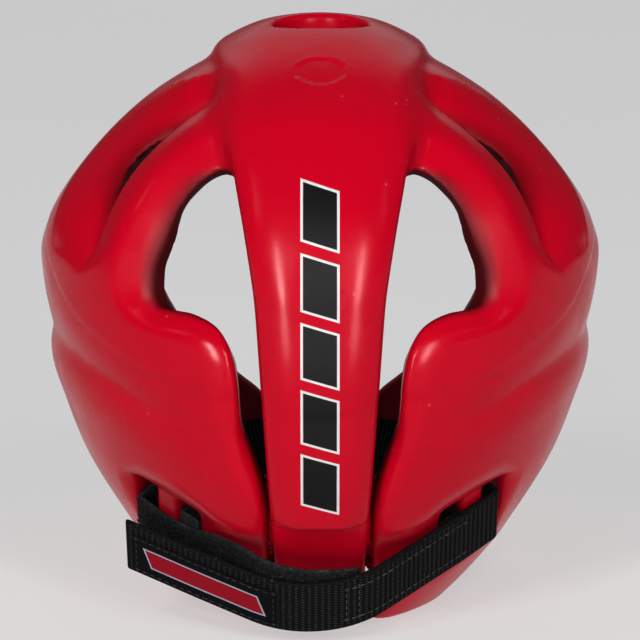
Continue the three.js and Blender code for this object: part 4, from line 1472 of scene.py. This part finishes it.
class GUARD_OT_straps(bpy.types.Operator):
    """Makes the two closing straps"""

    bl_idname = "guard.straps"
    bl_label = "Closing straps"

    def execute(self, context):
        settings = context.scene.guard_straps
        webbing = webbing_material(settings)
        half = STRAP_THICK / 2
        band = BandOnStraps(hook_route(half, half), 1.0, HOOK_LOW, HOOK_DRIFT, settings.strap_pitch / MM)
        section = band_section(STRAP_WIDTH, STRAP_THICK, 60)
        hook = banded_object("hook_strap_webbing", band, section, webbing)
        weave_ribs(hook, settings, webbing)
        dress(hook, "webbing", "hook_strap")
        tape = settings.tape_thick / MM
        inset = STRAP_THICK - tape / 2
        route = loop_route(inset, tape / 2)
        band = BandOnStraps(route, -1.0, LOOP_LOW, LOOP_DRIFT, 2.0 * settings.strap_pitch / MM)
        pile = pile_material(settings)
        loop = banded_object("loop_strap_pile", band, band_section(STRAP_WIDTH, tape, 30), pile)
        self.mark_pile(loop.data)
        grow(loop, pile_tree(), density=settings.pile_density, loop_radius=settings.loop_radius,
             thread_radius=settings.loop_thread, seed=PILE_SEED, material=pile)
        dress(loop, "loop_pile", "loop_strap")
        return {"FINISHED"}

    def mark_pile(self, mesh):
        """Marks the face of the strap that carries loops, up to the far side of the bar."""
        outer = np.empty(len(mesh.vertices), np.float32)
        run = np.empty(len(mesh.vertices), np.float32)
        mesh.attributes["outer"].data.foreach_get("value", outer)
        mesh.attributes["run"].data.foreach_get("value", run)
        attribute = mesh.attributes.new("pile", "FLOAT", "POINT")
        attribute.data.foreach_set("value", outer * (run < PILE_REACH * MM))


class GUARD_OT_label(bpy.types.Operator):
    """Makes the woven label on the free end of the hook strap"""

    bl_idname = "guard.label"
    bl_label = "Strap label"

    def execute(self, context):
        settings = context.scene.guard_straps
        half = settings.label_thick / MM / 2
        start = LABEL_INSET
        end = start + settings.label_length / MM
        route = hook_route(STRAP_THICK / 2, STRAP_THICK / 2)[0:2]
        strap = BandOnStraps(route, 1.0, HOOK_LOW + LABEL_RISE, HOOK_DRIFT, 0.5)
        label = LabelOnBand(strap, start, end, STRAP_THICK / 2 + LABEL_LIFT + half)
        section = band_section(settings.label_width / MM, 2.0 * half, 36)
        obj = banded_object("woven_label", label, section, label_material(settings))
        dress(obj, "label", "strap_label")
        return {"FINISHED"}


class GUARD_OT_chin_strap(bpy.types.Operator):
    """Makes the chin band inside the jaw ends"""

    bl_idname = "guard.chin_strap"
    bl_label = "Chin band"

    def execute(self, context):
        settings = context.scene.guard_straps
        webbing = bpy.data.materials["black_webbing"]
        band = BandOnChin(context.scene.guard_shell.wall / MM, settings.strap_pitch / MM)
        obj = banded_object("chin_band_webbing", band, band_section(STRAP_WIDTH, CHIN_THICK, 44), webbing)
        weave_ribs(obj, settings, webbing)
        dress(obj, "webbing", "chin_strap")
        return {"FINISHED"}


class GUARD_OT_stitches(bpy.types.Operator):
    """Sews the straps and the label"""

    bl_idname = "guard.stitches"
    bl_label = "Stitches"

    def execute(self, context):
        settings = context.scene.guard_straps
        half = STRAP_THICK / 2
        hook = BandOnStraps(hook_route(half, half), 1.0, HOOK_LOW, HOOK_DRIFT, 0.5)
        top = half + STITCH_LIFT
        low, high = SEAM_INSET, STRAP_WIDTH - SEAM_INSET
        pale = [self.row(hook, BOX_SEAM[0], SEAM_END, low, low, top),
                self.row(hook, BOX_SEAM[0], SEAM_END, high, high, top)]
        pale += [self.row(hook, run, run, low, high, top) for run in BOX_SEAM]
        self.sew("strap_stitches", pale, settings.seam_colour, settings)
        label_top = half + LABEL_LIFT + settings.label_thick / MM
        first = LABEL_INSET + 1.0
        last = LABEL_INSET + settings.label_length / MM - 1.0
        lower = LABEL_RISE + 1.0
        upper = LABEL_RISE + settings.label_width / MM - 1.0
        dark = [self.row(hook, first, last, lower, lower, label_top),
                self.row(hook, first, last, upper, upper, label_top),
                self.row(hook, first, first, lower, upper, label_top),
                self.row(hook, last, last, lower, upper, label_top)]
        chin = BandOnChin(context.scene.guard_shell.wall / MM, 0.5)
        inner = -CHIN_THICK / 2 - STITCH_LIFT
        near, far = CHIN_SEAM
        for place in CHIN_SEAM:
            for run in (place, chin.reach - place):
                dark.append(self.row(chin, run, run, near, STRAP_WIDTH - near, inner))
        for across in (near, STRAP_WIDTH - near):
            for begin in (near, chin.reach - far):
                dark.append(self.row(chin, begin, begin + far - near, across, across, inner))
        self.sew("label_and_chin_stitches", dark, settings.dark_seam_colour, settings)
        return {"FINISHED"}

    def row(self, band, run_start, run_end, across_start, across_end, out):
        """Points of one row of stitches on a band."""
        steps = max(2, int(max(abs(run_end - run_start), abs(across_end - across_start)) / 0.5))
        run = np.linspace(run_start, run_end, steps)
        return band.place(run, np.linspace(across_start, across_end, steps), np.full(steps, out))

    def sew(self, name, rows, colour, settings):
        """Lays stitches along rows of points."""
        thread = thread_material(name, colour)
        points = np.concatenate(rows)
        edges = []
        start = 0
        for row in rows:
            edges += [(start + i, start + i + 1) for i in range(len(row) - 1)]
            start += len(row)
        mesh = bpy.data.meshes.new(name)
        mesh.from_pydata(((points + REST) * MM).tolist(), edges, [])
        obj = bpy.data.objects.new(name, mesh)
        bpy.context.scene.collection.objects.link(obj)
        grow(obj, stitch_tree(), spacing=settings.stitch_spacing, stitch_length=settings.stitch_length,
             thread_radius=settings.thread_radius, material=thread)
        obj.data.shade_smooth()
        dress(obj, "webbing")


class GUARD_PT_panel(bpy.types.Panel):
    """Lists the steps that build the guard"""

    bl_label = "Head Guard"
    bl_idname = "GUARD_PT_panel"
    bl_space_type = "VIEW_3D"
    bl_region_type = "UI"
    bl_category = "Head Guard"

    def draw(self, context):
        for step in STEPS:
            self.layout.operator(step.bl_idname)


STEPS = (GUARD_OT_stage, GUARD_OT_finishes, GUARD_OT_shell, GUARD_OT_straps, GUARD_OT_label,
         GUARD_OT_chin_strap, GUARD_OT_stitches)
CLASSES = (ShellSettings, StrapSettings, StageSettings, *STEPS, GUARD_PT_panel)
POINTERS = {"guard_shell": ShellSettings, "guard_straps": StrapSettings, "guard_stage": StageSettings}


def register():
    for item in CLASSES:
        bpy.utils.register_class(item)
    for name, group in POINTERS.items():
        setattr(bpy.types.Scene, name, bpy.props.PointerProperty(type=group))


def unregister():
    for name in POINTERS:
        delattr(bpy.types.Scene, name)
    for item in reversed(CLASSES):
        bpy.utils.unregister_class(item)


def main():
    register()
    bpy.ops.guard.stage()
    bpy.ops.guard.finishes()
    bpy.ops.guard.shell()
    bpy.ops.guard.straps()
    bpy.ops.guard.label()
    bpy.ops.guard.chin_strap()
    bpy.ops.guard.stitches()
    boxes = {"cad": CAD_BOX, "visual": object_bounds()}
    sizes = {name: [list(corner) for corner in box] for name, box in boxes.items()}


if __name__ == "__main__":
    main()
